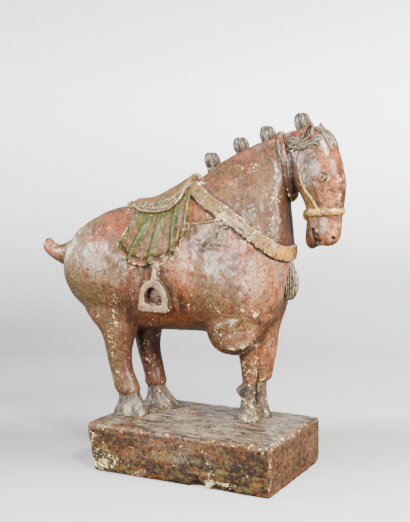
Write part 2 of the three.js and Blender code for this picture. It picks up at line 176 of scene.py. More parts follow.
class PaintColours(bpy.types.PropertyGroup):
    red: colour("Red", "Iron-red coat", "#794228")
    # Rose is also painted as highlight in the coat's pale rose patches
    rose: colour("Rose", "Coat rubbed thin over the white ground", "#D48A5A")
    dark_red: colour("Dark red", "Coat where it is thick and dirty", "#3C2218")
    # Oxblood is painted as shade under the throat, jaw, belly and elbows, in creases, down the legs and in
    # the ears
    oxblood_shade: colour("Oxblood", "Deep red painted as shade in the throat, the belly and other shaded places", "#4C2117")
    brown: colour("Brown", "Ochre-brown patches of old varnish", "#54381E")
    tan: colour("Tan", "Ochre-grey bloom of dust in the varnish", "#84703F")
    # Bloom is also painted as sheen in some patches of the coat
    bloom: colour("Bloom", "Grey-mauve bloom over the coat", "#C2AA98")
    orange: colour("Orange", "Bare red lead under the coat", "#B04E20")
    green: colour("Green", "Malachite green of the saddle-cloth", "#4E5C22")
    moss: colour("Moss", "Green where it is thick and dirty", "#2E381A")
    pink: colour("Pink", "Pink-brown of the saddle-cloth between the ridges", "#9A5C40")
    seat: colour("Seat", "Drab olive of the saddle", "#78602F")
    strap: colour("Strap", "Ochre of the harness", "#8C6A34")
    gilt: colour("Gilt", "Yellow of the noseband", "#F0B64C")
    hair: colour("Hair", "Grey-green of mane and tassels", "#544E3A")
    ash: colour("Ash", "Pale grey where hair, hooves and block are rubbed", "#988C79")
    hoof: colour("Hoof", "Grey of hooves and pasterns", "#575049")
    block: colour("Block", "Charcoal ground of the block", "#241E1A")
    umber: colour("Umber", "Rusty brown where the block's charcoal is worn", "#683A1C")
    olive: colour("Olive", "Olive-yellow stain on the block", "#6F6436")
    stone: colour("Stone", "Pinkish grey of the stirrups", "#A5845F")
    gesso: colour("Gesso", "Chalk-and-glue ground where the paint has flaked off", "#EAD6A2")
    # Grime: real dirt where it lies in flecks, and painted shade in the hollows, along the joins and in the
    # patches of painted shadow
    grime_and_shade: colour("Grime", "Dirt, and painted shade, in the hollows", "#241A14")


# Curves and slices


def curve_through(rows, steps):
    """Points on the smooth curve through rows of numbers"""
    rows = np.asarray(rows, float)
    padded = np.vstack([2 * rows[0] - rows[1], rows, 2 * rows[-1] - rows[-2]])
    place = np.linspace(0, len(rows) - 1, (len(rows) - 1) * steps + 1)
    at = np.minimum(place.astype(int), len(rows) - 2)
    w = (place - at)[:, None]
    a, b, c, d = padded[at], padded[at + 1], padded[at + 2], padded[at + 3]
    return 0.5 * (2 * b + (c - a) * w + (2 * a - 5 * b + 4 * c - d) * w**2 + (3 * b - a - 3 * c + d) * w**3)


def loop_through(rows, steps):
    """Points on the smooth closed curve through rows of numbers"""
    rows = np.asarray(rows, float)
    wrapped = np.vstack([rows[-1:], rows, rows[:2]])
    return curve_through(wrapped, steps)[steps : -steps - 1]


def stations(rows):
    """Slices of a limb: its two edge points in side view and its half width, and where they aren't 0, 0 and 2
    the middle across, the narrowing towards the first point and the squareness"""
    return [(*row, *(0, 0, 2)[len(row) - 5 :]) for row in rows]


def turns(number):
    """Angles spread evenly round a circle"""
    return np.arange(number) / number * 2 * np.pi


TRUNK = stations([
    (-204, 216, -204, 206, 8), (-203, 234, -202, 189, 27), (-197, 251, -195, 172, 42),
    (-186, 267, -181, 155, 52), (-170, 279, -163, 140, 59), (-147, 291, -144, 127, 65),
    (-118, 301, -118, 121, 68), (-88, 303, -88, 121, 70), (-58, 308, -56, 122, 70),
    (-32, 321, -22, 122, 69), (-10, 334, 10, 122, 67, 0, 0.08, 2.1), (12, 348, 42, 117, 65, 0, 0.14, 2.3),
    (34, 364, 74, 116, 62, 0, 0.2, 2.5), (58, 377, 100, 128, 58, 0, 0.22, 2.5),
    (80, 387, 121, 158, 53, 0, 0.22, 2.4), (97, 394, 131, 198, 46, 0, 0.2, 2.2),
    (108, 398, 136, 240, 38, 0, 0.15, 2.1), (116, 401, 132, 262, 33, 0, 0.1), (124, 404, 130, 285, 30),
    (132, 406, 132, 305, 27), (142, 408, 146, 326, 22),
])

HEAD = stations([
    (168, 411, 142, 406, 12, 0, 0, 2.4), (181, 406, 131, 394, 22, 0, 0.05, 2.4),
    (192, 396, 127, 378, 26, 0, 0.1, 2.6), (200, 380, 130, 361, 28, 0, 0.12, 2.8),
    (206, 361, 136, 345, 29, 0, 0.14, 2.8), (210, 341, 144, 329, 28, 0, 0.14, 2.8),
    (211, 322, 152, 316, 24, 0, 0.1, 2.5), (210, 306, 157, 303, 20, 0, 0.06, 2.4),
    (208, 292, 159, 290, 18.5, 0, 0, 2.3), (207, 278, 158, 277, 19, 0, 0, 2.3),
    (206, 266, 157, 266, 19.5, 0, 0, 2.3), (203, 256, 162, 255, 17, 0, 0, 2.3),
    (196, 249, 171, 249, 9, 0, 0, 2.3),
])

TAIL = stations([
    (-192, 256, -196, 205, 17), (-207, 249, -213, 210, 15), (-217, 244, -227, 217, 13),
    (-224, 242, -240, 225, 11.5), (-230, 245, -250, 235, 10), (-235, 250, -251, 244, 8.5),
    (-238, 254, -246, 252, 5),
])

HIND_RIGHT = stations([
    (-78, 190, -160, 182, 20, -28), (-68, 165, -168, 158, 26, -30), (-79, 141, -156, 137, 27, -30),
    (-88, 117, -138, 117, 24, -31), (-94, 90, -131, 90, 20, -31), (-92, 66, -125, 66, 17, -31),
    (-85, 46, -120, 46, 16.5, -31), (-81, 36, -118, 36, 17, -31), (-83, 30, -114, 30, 14.5, -31),
    (-78, 20, -114, 20, 15, -31), (-72, 8, -119, 8, 18, -31), (-66, -5, -123, -5, 22, -31),
])

HIND_LEFT = stations([
    (-68, 190, -150, 182, 20, 28), (-55, 165, -152, 158, 26, 30), (-63, 141, -134, 136, 27, 31),
    (-70, 117, -115, 112, 24, 30), (-73, 92, -109.5, 90, 20, 29), (-69, 66, -102, 66, 17, 29),
    (-65, 46, -97, 46, 16.5, 29), (-63, 37, -96, 36, 17, 29), (-65, 31, -92, 30, 14.5, 29),
    (-57, 20, -92, 20, 15, 29), (-46, 8, -96, 8, 18, 29), (-36, -5, -100, -5, 22, 29),
])

FORE_RIGHT = stations([
    (94, 135, 54, 125, 17, -19), (91, 108, 62, 100, 15, -16), (90, 84, 65, 84, 14, -14),
    (89, 66, 68, 66, 13, -13), (88, 54, 69, 54, 13, -13), (87, 49, 64, 49, 13, -12.5),
    (87, 42, 59, 42, 12.5, -12.5), (87, 32, 66, 32, 12.5, -12.5), (89, 20, 66, 22, 13.5, -13.5),
    (92, 8, 63, 8, 14.5, -14.5), (97, -5, 61, -5, 17, -15),
])

FORE_LEFT = stations([
    (128, 170, 62, 140, 24, 22), (115, 128, 70, 112, 19, 18), (112, 99, 74, 92, 15, 15),
    (108, 78, 76, 76, 14, 15), (104.5, 60, 78, 60, 14, 15), (102, 55, 79, 54, 14, 15),
    (96, 50, 78, 50, 11.5, 15), (97, 33, 76, 36, 11, 15), (98, 22, 77, 22, 12, 15), (102, 8, 74, 8, 14, 15),
    (110, -5, 72, -5, 17, 15),
])

# Shoulder and elbow, which swell over the forelegs
SHOULDER = stations([
    (90, 222, 44, 216, 13, 33), (96, 190, 30, 184, 19, 34), (99, 160, 21, 152, 21.5, 34.5),
    (98, 132, 23, 124, 20.5, 34.5), (95, 114, 32, 107, 18, 34), (86, 102, 44, 98, 13, 33),
    (74, 96, 56, 95, 6, 32),
])

# Where each leg's grey pastern and hoof begin, above the block
CUFFS = ((HIND_RIGHT, 33), (HIND_LEFT, 34), (FORE_RIGHT, 51), (FORE_LEFT, 53))

SEAT = [
    (-104, 300), (-98, 335), (-60, 335), (-20, 365), (-2, 372), (1, 345), (-3, 329), (-13, 306), (-27, 294),
    (-50, 289), (-74, 290), (-88, 295),
]
# The seat proper, within its moulded band
CUSHION = [
    (-90, 299), (-92, 345), (-60, 345), (-20, 375), (2, 385), (4, 352), (0, 332), (-14, 313), (-36, 301),
    (-56, 297), (-72, 296),
]
CLOTH_TOP = [(-77, 293), (-56, 291), (-36, 295), (-17, 309), (-1, 336)]
CLOTH_HEM = [(-97, 246), (-79, 227), (-48, 222), (-15, 238), (1, 266)]
STIRRUP_TOP = (-40, 203)
LEATHER_TOP = 226
# The stirrup's ring, outside and inside: shares of its half width and of its height, and more height on top
STIRRUP_OUTER = (
    (-1, 0, 2), (0, 0, 0), (1, 0, 1), (1.02, 0.3, 0), (0.95, 0.58, 0), (0.7, 0.8, 0), (0.3, 1, -1),
    (-0.3, 1, -1), (-0.72, 0.82, 0), (-0.95, 0.6, 0), (-1, 0.3, 0),
)
STIRRUP_INNER = (
    (-1, 0, 3), (0, 0, 0), (1, 0, 0), (1.1, 0.3, 0), (1, 0.65, 0), (0.6, 1, -2), (0, 1, 1), (-0.6, 1, 0),
    (-1.05, 0.7, 0), (-1.15, 0.45, 0), (-1.1, 0.25, 0),
)
BREAST_STRAP = [(6, 326), (29, 309), (59, 291), (86, 270), (109, 254), (128, 240), (150, 235)]
COLLAR = [(112, 420), (121, 396), (131, 368), (135, 342), (138, 318), (142, 300)]
CORD = [(-6, 278), (20, 280), (48, 285)]
NOSEBAND = [(140, 293.5), (220, 297)]
CHEEK_LINE = [(162, 358), (159, 342), (164, 326), (173, 312), (180, 298)]
CHEEK_STRAP = [(160, 334), (164, 322), (171, 310), (177, 298), (165, 298), (161, 306), (157, 320)]
LIPS = [(171, 272), (175, 272), (182, 260), (186, 242), (177, 242), (173, 258)]
# How far the cord and the cheek straps stand out
CORD_RISE = 1.6
CHEEK_RISE = 0.9
# Soft ridges and grooves of the carving: line in side view, reach, height, and the side if it is on one alone
FOLDS = (
    (((-180, 258), (-150, 281), (-121, 292), (-90, 297)), 3, 1.1),
    (((-178, 249), (-147, 272), (-118, 282), (-88, 287)), 5, -0.9),
    (((-88, 250), (-84, 215), (-88, 175), (-94, 140)), 12, -2.6),
    (((-106, 182), (-104, 168), (-111, 152), (-106, 134)), 2.2, 1.0),
    (((-128, 236), (-112, 214), (-96, 200)), 9, -1.0),
    (((24, 250), (12, 225), (16, 190), (24, 150)), 11, -1.8),
    (((100, 240), (112, 212), (112, 182), (104, 158)), 8, -1.6), (((2, 219), (16, 211), (34, 210)), 4, 0.8),
    (((40, 133), (58, 142), (74, 146), (98, 156)), 4, 1.5),
    (((46, 122), (66, 131), (84, 134), (96, 142)), 4, -1.0), (((60, 330), (92, 348), (112, 378)), 8, -0.9),
    (((84, 300), (108, 318), (124, 345)), 7, 0.9), (((174, 330), (182, 314), (186, 300)), 4, 0.9),
    (((180, 353), (190, 349), (196, 340), (192, 331), (182, 330), (176, 338), (180, 352)), 3.5, -0.5),
    (((150, 384), (148, 360), (154, 340)), 4, 0.8),
    (((-136, 150), (-130, 110), (-126, 70), (-120, 40)), 5, 1.0),
    (((50, 102), (63, 100), (75, 102), (86, 108), (95, 115), (99, 122)), 2.4, -4.0),
    (((58, 108), (74, 109), (85, 116), (93, 124)), 4, 2.0),
    (((70, 34), (82, 24), (98, 8)), 1.8, 1.8, RIGHT), (((64, 31), (74, 29), (84, 31)), 1.6, -1.6, RIGHT),
    (((80, 60), (84, 45), (92, 34)), 2, 1.0, RIGHT), (((84, 52), (90, 30), (98, 8)), 2, 1.2, LEFT),
    (((-84, 30), (-78, 18), (-70, 4)), 2, 1.4, RIGHT),
    (((-104, 30), (-106, 16), (-108, 2)), 2, -1.0, RIGHT), (((-72, 30), (-62, 18), (-50, 4)), 2, 1.4, LEFT),
    (((-84, 30), (-82, 16), (-80, 2)), 2, -1.2, LEFT),
)

KNOTS = ((19.5, 366, 25), (62, 387, 24), (100.5, 401, 26))
HEAD_KNOT = (150, 417, 27)
EYE = (188.5, 25.5, 342)
# Rings of the eye: reach as a share of its radius, how far it stands out, and how dark it is
EYE_RINGS = (
    (0.06, 2.8, 1), (0.2, 2.8, 1), (0.32, 2.7, 0.3), (0.42, 1.8, 0), (0.52, 2.6, 0), (0.66, 2.4, 0),
    (0.82, 1.9, 0.4), (0.96, 0.7, 1), (1.08, 1.5, 1), (1.2, 2.0, 0.3), (1.34, 1.2, 0), (1.5, -2.5, 0),
)
EAR = stations([
    (168, 387, 158, 387, 4, 22), (172, 391, 157, 391, 6, 22.5), (175, 397, 157, 396, 7.4, 22.5),
    (175.5, 404, 159, 402, 7, 22), (174, 411, 163, 409, 5, 21.5), (171, 416, 167, 415.5, 2.4, 21),
    (169.5, 418, 168, 418, 0.8, 21),
])
NOSTRIL = (199.5, 12.5, 260.5)
# Half width of the head at the lips
MOUTH_HALF = 19
# The head's middle, from which its locks lift
HEAD_MIDDLE = (165, 0, 375)
# The jaw's end and the ring under the jaw: middle and reach
JAW = (166, 0, 260, 10, 13.5, 17)
JAW_RING = (157, 0, 291, 5, 8, 8)

# Tufts on the shoulder: length, width, thickness, top s and z, lean in degrees and finish
SHOULDER_TUFTS = ((42, 15, 12, 49, 277, 36, "hair"), (28, 17, 3, 55, 277, 14.4, "coat"))
# The bow over them: s, z and size of each loop
BOW = ((56.7, 280, 5.5), (50.7, 278, 4), (57.7, 274, 4))
CHEST_TUFT = (133, 0, 234)

# Squareness of the block's section, where 2 would be round
BLOCK_SQUARENESS = 22
# Swells of the top: middle and reach along, middle and reach across, and share of the full swell
SWELLS = ((62, 36, 36, 34, 1), (-104, 34, 14, 46, 0.7))
# Chips out of the block's edges: middle and reach, from the middle of its underside
CHIPS = (
    (38, -92, -1, 15, 12, 13), (66, -95, 1, 24, 7, 11), (20, -94, -3, 12, 6, 8), (-138, -94, 70, 9, 8, 7),
    (144, -94, 66, 8, 8, 8), (142, 30, 71, 6, 14, 5), (-142, 10, 70, 6, 20, 6),
)

# The photograph's view: lens and sensor in millimetres, place in metres, and degrees looked down and turned
LENS = 62.07
SENSOR = 36
CAMERA_PLACE = (0.5785, -1.1183, 0.3949)
CAMERA_DOWN = 4.593
CAMERA_TURN = 27.318
# The sweep's outline: how far out and how high
SWEEP = ((0.001, 0), (0.8, 0), (1.6, 0), (2.2, 0), (2.65, 0.12), (2.95, 0.5), (3.05, 1.1), (3.08, 2.1))
# How the floor glows from front to back, with a strip of painted shade where the table ends, and the wall
# from low to high
FLOOR_GLOW = (
    (-0.2, -0.08, 0.03, 0.15, 0.31, 0.5, 0.9, 1.5, 2.1),
    (1.7, 1.3, 0.6, 0.3, 1.0, 0.85, 0.62, 1.0, 1.4),
)
WALL_GLOW = ((0, 0.1, 0.25, 0.45, 0.7, 0.85, 1.3), (1.4, 1.9, 2.75, 3.5, 4.3, 4.3, 2.9))
# Name, place, power, size and tint of each light, and the point that they are turned to
LIGHTS = (
    ("key", (1.6, -1.2, 1.9), 200, 0.45, "#FFF4E6"), ("side", (2.3, -0.3, 0.8), 95, 0.8, "#FFF4E6"),
    ("front", (0.15, -2.1, 0.7), 62, 0.5, "#F6F2EE"), ("fill", (-1.6, -1.6, 1.1), 68, 0.45, "#FFFFFF"),
    ("edge", (-2.3, 0.1, 0.9), 40, 0.8, "#FFFFFF"), ("top", (-0.4, 0.3, 2.3), 25, 1.0, "#FFFFFF"),
    ("rear", (-0.6, 2.0, 1.3), 22, 0.8, "#FFFFFF"),
)
LIT_POINT = (0, 0, 0.25)


class Form:
    """Part of the carving as it takes shape: points, faces between them, and the finish at each point"""

    def __init__(self, points, faces, finish="coat"):
        self.points = np.asarray(points, float).reshape(-1, 3)
        self.faces = faces
        if isinstance(finish, str):
            finish = np.full(len(self.points), FINISHES.index(finish))
        self.finish = np.asarray(finish, int).ravel()

    def moved(self, points):
        return Form(points, self.faces, self.finish)


def joined(forms):
    faces, shift = [], 0
    for form in forms:
        faces += [tuple(corner + shift for corner in face) for face in form.faces]
        shift += len(form.points)
    return Form(np.vstack([f.points for f in forms]), faces, np.concatenate([f.finish for f in forms]))


def gathered(pieces):
    """Forms that each come with rows of marks, as one form and its marks"""
    forms, *marks = zip(*pieces)
    return joined(forms), *(np.concatenate(row) for row in marks)


def xyz(x, y, z):
    """Points from coordinates that may differ in shape"""
    return np.stack(np.broadcast_arrays(x, y, z), -1)


def power_of(value, power):
    return np.sign(value) * np.abs(value) ** power


def skin(slices, steps, sides):
    """Rings of points round a limb"""
    ax, az, bx, bz, half, middle, narrow, square = (c[:, None] for c in curve_through(slices, steps).T)
    cos, sin = np.cos(turns(sides)), np.sin(turns(sides))
    up = power_of(cos, 2 / square)
    out = power_of(sin, 2 / square) * (1 - narrow * cos)
    return xyz((ax + bx) / 2 + (ax - bx) / 2 * up, middle + half * out, (az + bz) / 2 + (az - bz) / 2 * up)


def normals_of(rings):
    """Directions out of the surface that rings of points make"""
    along = np.gradient(rings, axis=0)
    around = np.roll(rings, -1, 1) - np.roll(rings, 1, 1)
    normal = np.cross(around, along)
    normal /= np.linalg.norm(normal, axis=-1, keepdims=True) + 1e-9
    outward = rings - rings.mean(1, keepdims=True)
    return normal * np.sign((normal * outward).sum())


def quads_of(rows, columns, wrap=False):
    """Faces between neighbouring rings of points, and where they wrap also from the last ring to the first"""
    at = np.arange(rows * columns).reshape(rows, columns)
    if wrap:
        at = np.vstack([at, at[:1]])
    aside = np.roll(at, -1, 1)
    quads = np.stack([at[:-1], aside[:-1], aside[1:], at[1:]], -1).reshape(-1, 4)
    return [tuple(quad) for quad in quads.tolist()]


def closed(rings, finish="coat"):
    """Rings of points as a closed form, with a hub at each end"""
    rows, sides = rings.shape[:2]
    faces = quads_of(rows, sides)
    hub, last = rows * sides, (rows - 1) * sides
    for j in range(sides):
        k = (j + 1) % sides
        faces += [(k, j, hub), (last + j, last + k, hub + 1)]
    points = np.vstack([rings.reshape(-1, 3), rings[0].mean(0), rings[-1].mean(0)])
    if not isinstance(finish, str):
        finish = np.append(finish.ravel(), [finish.ravel()[0], finish.ravel()[-1]])
    return Form(points, faces, finish)


def ball(x, y, z, rx, ry, rz, finish="coat", around=48):
    """A closed egg with its poles up and down"""
    lift = np.linspace(-np.pi / 2, np.pi / 2, around // 2 + 2)[1:-1, None]
    level, angle = np.cos(lift), turns(around)
    rings = xyz(x + rx * level * np.cos(angle), y + ry * level * np.sin(angle), z + rz * np.sin(lift))
    return closed(rings, finish)


def through(outline, low, high):
    """A side outline pushed through the horse, from one place across to another"""
    s, z = outline.T
    return closed(xyz(s, np.linspace(low, high, 8)[:, None], z))


def line_distance(s, z, line):
    """How far points in side view lie from a line"""
    nearest = np.full(s.shape, 1e9)
    for (x0, z0), (x1, z1) in zip(line[:-1], line[1:]):
        run = (x1 - x0) ** 2 + (z1 - z0) ** 2 + 1e-9
        share = np.clip(((s - x0) * (x1 - x0) + (z - z0) * (z1 - z0)) / run, 0, 1)
        nearest = np.minimum(nearest, np.hypot(s - x0 - share * (x1 - x0), z - z0 - share * (z1 - z0)))
    return nearest


def outline_depth(s, z, outline):
    """How deep points in side view lie inside a closed outline; below 0 outside it"""
    closed_line = np.vstack([outline, outline[:1]])
    inside = np.zeros(s.shape, bool)
    for (x0, z0), (x1, z1) in zip(closed_line[:-1], closed_line[1:]):
        crosses = (z0 > z) != (z1 > z)
        inside ^= crosses & (s < (x1 - x0) * (z - z0) / (z1 - z0 + 1e-12) + x0)
    return np.where(inside, 1, -1) * line_distance(s, z, closed_line)


def eased(value):
    value = np.clip(value, 0, 1)
    return value * value * (3 - 2 * value)


def bump(value, middle, width):
    return np.exp(-(((value - middle) / width) ** 2))


def raised(slices, steps, sides, patches):
    """A limb's skin lifted where a patch lies on it, and sunk into the limb everywhere else"""
    rings = skin(slices, steps, sides)
    s, z = rings[..., 0], rings[..., 2]
    lift = np.full(s.shape, SUNK)
    finish = np.zeros(s.shape, int)
    for depth_of, height_of, name in patches:
        depth = depth_of(s, z)
        height = height_of(depth)
        shows = (depth > 0) & (height > lift)
        lift[shows] = height[shows]
        finish[shows] = FINISHES.index(name)
    return closed(rings + normals_of(rings) * lift[..., None], finish)


trunk_slices = curve_through(TRUNK, 2)


@np.vectorize
def flank(x, z):
    """Half width of the trunk at places in its side view"""
    ax, az, bx, bz, half, _, narrow, square = trunk_slices.T
    rx, rz = ax - bx, az - bz
    side = ((x - bx) * rz - (z - bz) * rx) / np.hypot(rx, rz)
    ahead = int(np.argmax(side < 0))
    if ahead < 1:
        return 0.0
    up = np.clip(2 * ((x - bx) * rx + (z - bz) * rz) / (rx * rx + rz * rz) - 1, -1, 1)
    cos = power_of(up, square / 2)
    width = half * np.maximum(1 - cos * cos, 0) ** (1 / square) * (1 - narrow * cos)
    share = side[ahead - 1] / (side[ahead - 1] - side[ahead])
    return width[ahead - 1] * (1 - share) + width[ahead] * share


def slab(outer, inner, finish):
    """A closed slab between two grids of points"""
    rows, columns = outer.shape[:2]
    shift = rows * columns
    at = np.arange(shift).reshape(rows, columns)
    quads = np.stack([at[:-1, :-1], at[1:, :-1], at[1:, 1:], at[:-1, 1:]], -1).reshape(-1, 4)
    edge = np.concatenate([at[0, :-1], at[:-1, -1], at[-1, :0:-1], at[:0:-1, 0]])
    ahead = np.roll(edge, -1)
    walls = np.stack([edge, ahead, ahead + shift, edge + shift], -1)
    faces = np.vstack([quads, quads[:, ::-1] + shift, walls])
    points = np.vstack([outer.reshape(-1, 3), inner.reshape(-1, 3)])
    return Form(points, [tuple(face) for face in faces.tolist()], finish)


def with_head(form, context):
    """A form of the head, turned about the neck as the head is"""
    turn = context.scene.horse_sizes.head_turn
    c, s = math.cos(turn), math.sin(turn)
    x, y, z = form.points.T
    x = x - HEAD_PIVOT
    return form.moved(xyz(x * c + y * s + HEAD_PIVOT, y * c - x * s, z))


def on_block(points, context):
    """Points of the horse, in millimetres in its own frame, in metres on the block"""
    horse, block = context.scene.horse_sizes, context.scene.block_sizes
    c, s = math.cos(horse.turn), math.sin(horse.turn)
    x, y, z = points.T * (horse.height / DRAWN_HEIGHT)
    return xyz(x * c - y * s + horse.along, x * s + y * c + horse.across, z + block.height)


def off_block(points, context):
    """The same the other way round"""
    horse, block = context.scene.horse_sizes, context.scene.block_sizes
    c, s = math.cos(horse.turn), math.sin(horse.turn)
    x, y, z = points.T
    x, y = x - horse.along, y - horse.across
    return xyz(x * c + y * s, y * c - x * s, z - block.height) / (horse.height / DRAWN_HEIGHT)


def in_mm(sizes, *names):
    """Some of a group's sizes, in millimetres"""
    return [getattr(sizes, name) * MM for name in names]


def lattice_noise(points, size, seed):
    """Smooth noise from -1 to 1 with lumps of one size"""
    place = np.asarray(points) / size
    cell = np.floor(place).astype(np.int64)
    share = place - cell
    share = share * share * (3 - 2 * share)
    total = np.zeros(len(place))
    for corner in np.ndindex(2, 2, 2):
        key = cell + corner
        mixed = (key[:, 0] * 73856093) ^ (key[:, 1] * 19349663) ^ (key[:, 2] * 83492791) ^ (seed * 2654435761)
        mixed = (mixed ^ (mixed >> 13)) * 1274126177
        value = ((mixed ^ (mixed >> 16)) & 0xFFFF) / 32767.5 - 1
        total += value * np.prod(np.where(corner, share, 1 - share), axis=1)
    return total


# Meshes


def object_of(name, points, faces, collection=None):
    mesh = bpy.data.meshes.new(name)
    mesh.from_pydata(np.asarray(points).tolist(), [], faces)
    made = bpy.data.objects.new(name, mesh)
    (collection or bpy.context.scene.collection).objects.link(made)
    return made


def forms_collection():
    """Where the forms wait until they are joined"""
    found = bpy.data.collections.get("Carving forms")
    if found is None:
        found = bpy.data.collections.new("Carving forms")
        bpy.context.scene.collection.children.link(found)
    return found


def set_aside(name, form, context):
    """Keeps a form of the horse, with its finishes, until the carving is joined"""
    made = object_of(name, on_block(form.points, context), form.faces, forms_collection())
    write_values(made.data, {"finish": form.finish})


def write_values(mesh, values):
    for name, numbers in values.items():
        attribute = mesh.attributes.get(name) or mesh.attributes.new(name, "FLOAT", "POINT")
        attribute.data.foreach_set("value", np.asarray(numbers, np.float32))


def numbers_of(data, name, width):
    """A number, or a row of numbers, from each member of a collection"""
    numbers = np.zeros(len(data) * width, np.float32)
    data.foreach_get(name, numbers)
    return numbers


def read_values(mesh, name):
    return numbers_of(mesh.attributes[name].data, "value", 1)


def points_of(mesh):
    return numbers_of(mesh.vertices, "co", 3).reshape(-1, 3).astype(float)


def faces_of(mesh):
    return [tuple(face.vertices) for face in mesh.polygons]


def out_of(mesh):
    """Directions out of the mesh at its points"""
    return numbers_of(mesh.vertex_normals, "vector", 3).reshape(-1, 3).astype(float)


def set_points(mesh, points):
    mesh.vertices.foreach_set("co", np.asarray(points, np.float32).ravel())
    mesh.update()


def modified(made, kind, **settings):
    """Leaves the object with its mesh as one modifier makes it"""
    modifier = made.modifiers.new(kind.lower(), kind)
    for name, value in settings.items():
        setattr(modifier, name, value)
    graph = bpy.context.evaluated_depsgraph_get()
    mesh = bpy.data.meshes.new_from_object(made.evaluated_get(graph))
    made.modifiers.clear()
    old = made.data
    made.data = mesh
    bpy.data.meshes.remove(old)


def remeshed(made, cell):
    modified(made, "REMESH", mode="VOXEL", voxel_size=cell, adaptivity=0)


def thinned(made, most):
    """Thins an object out to a number of triangles"""
    share = most / (2 * len(made.data.polygons))
    if share < 1:
        modified(made, "DECIMATE", decimate_type="COLLAPSE", ratio=share)


def recalculated(made):
    """Turns the faces of every closed shell outwards"""
    work = bmesh.new()
    work.from_mesh(made.data)
    bmesh.ops.recalc_face_normals(work, faces=work.faces)
    work.to_mesh(made.data)
    work.free()


def cut_out(made, points, faces):
    """Cuts closed shells, in metres, out of an object"""
    cutter = object_of("cutter", points, faces)
    recalculated(made)
    recalculated(cutter)
    modified(made, "BOOLEAN", operation="DIFFERENCE", solver="MANIFOLD", object=cutter)
    bpy.data.objects.remove(cutter)


def without_specks(mesh):
    """Deletes the loose specks that a remesh leaves"""
    work = bmesh.new()
    work.from_mesh(mesh)
    seen, specks = set(), []
    for start in work.verts:
        if start in seen:
            continue
        shell, waiting = {start}, [start]
        while waiting:
            here = waiting.pop()
            for edge in here.link_edges:
                other = edge.other_vert(here)
                if other not in shell:
                    shell.add(other)
                    waiting.append(other)
        seen |= shell
        if len(shell) < SPECK_POINTS:
            specks += shell
    bmesh.ops.delete(work, geom=specks, context="VERTS")
    work.to_mesh(mesh)
    work.free()


def tree_of(points):
    """Points in a tree that finds the nearest"""
    tree = KDTree(len(points))
    for i, point in enumerate(points):
        tree.insert(point, i)
    tree.balance()
    return tree


class Net:
    """The edges of a mesh, to average each point with its neighbours"""

    def __init__(self, mesh):
        edges = np.zeros(len(mesh.edges) * 2, np.int32)
        mesh.edges.foreach_get("vertices", edges)
        self.first, self.second = edges.reshape(-1, 2).T
        self.size = len(mesh.vertices)
        self.count = np.maximum(np.bincount(edges, minlength=self.size), 1)

    def mean(self, values):
        if values.ndim == 2:
            return np.stack([self.mean(column) for column in values.T], -1)
        total = np.bincount(self.first, values[self.second], self.size)
        total += np.bincount(self.second, values[self.first], self.size)
        return total / self.count

    def smooth(self, values, times, weight=0.5):
        if not np.isscalar(weight):
            weight = weight[:, None]
        for _ in range(times):
            values = values + (self.mean(values) - values) * weight
        return values


def finish_piece(made, context):
    made.data.shade_smooth()
    made.data.materials.clear()
    made.data.materials.append(painted_gesso(context))
    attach(made, BODY)


# Material


def node(tree, kind, links=None, **settings):
    """Adds a node with its settings; links gives each input a value or the output that feeds it"""
    made = tree.nodes.new("ShaderNode" + kind)
    for name, value in settings.items():
        setattr(made, name, value)
    for name, value in (links or {}).items():
        if isinstance(value, bpy.types.NodeSocket):
            tree.links.new(value, made.inputs[name])
        else:
            made.inputs[name].default_value = value
    return made


def cells(millimetres):
    """A texture's scale, for lumps of a real size in metres of object space"""
    return MM / millimetres


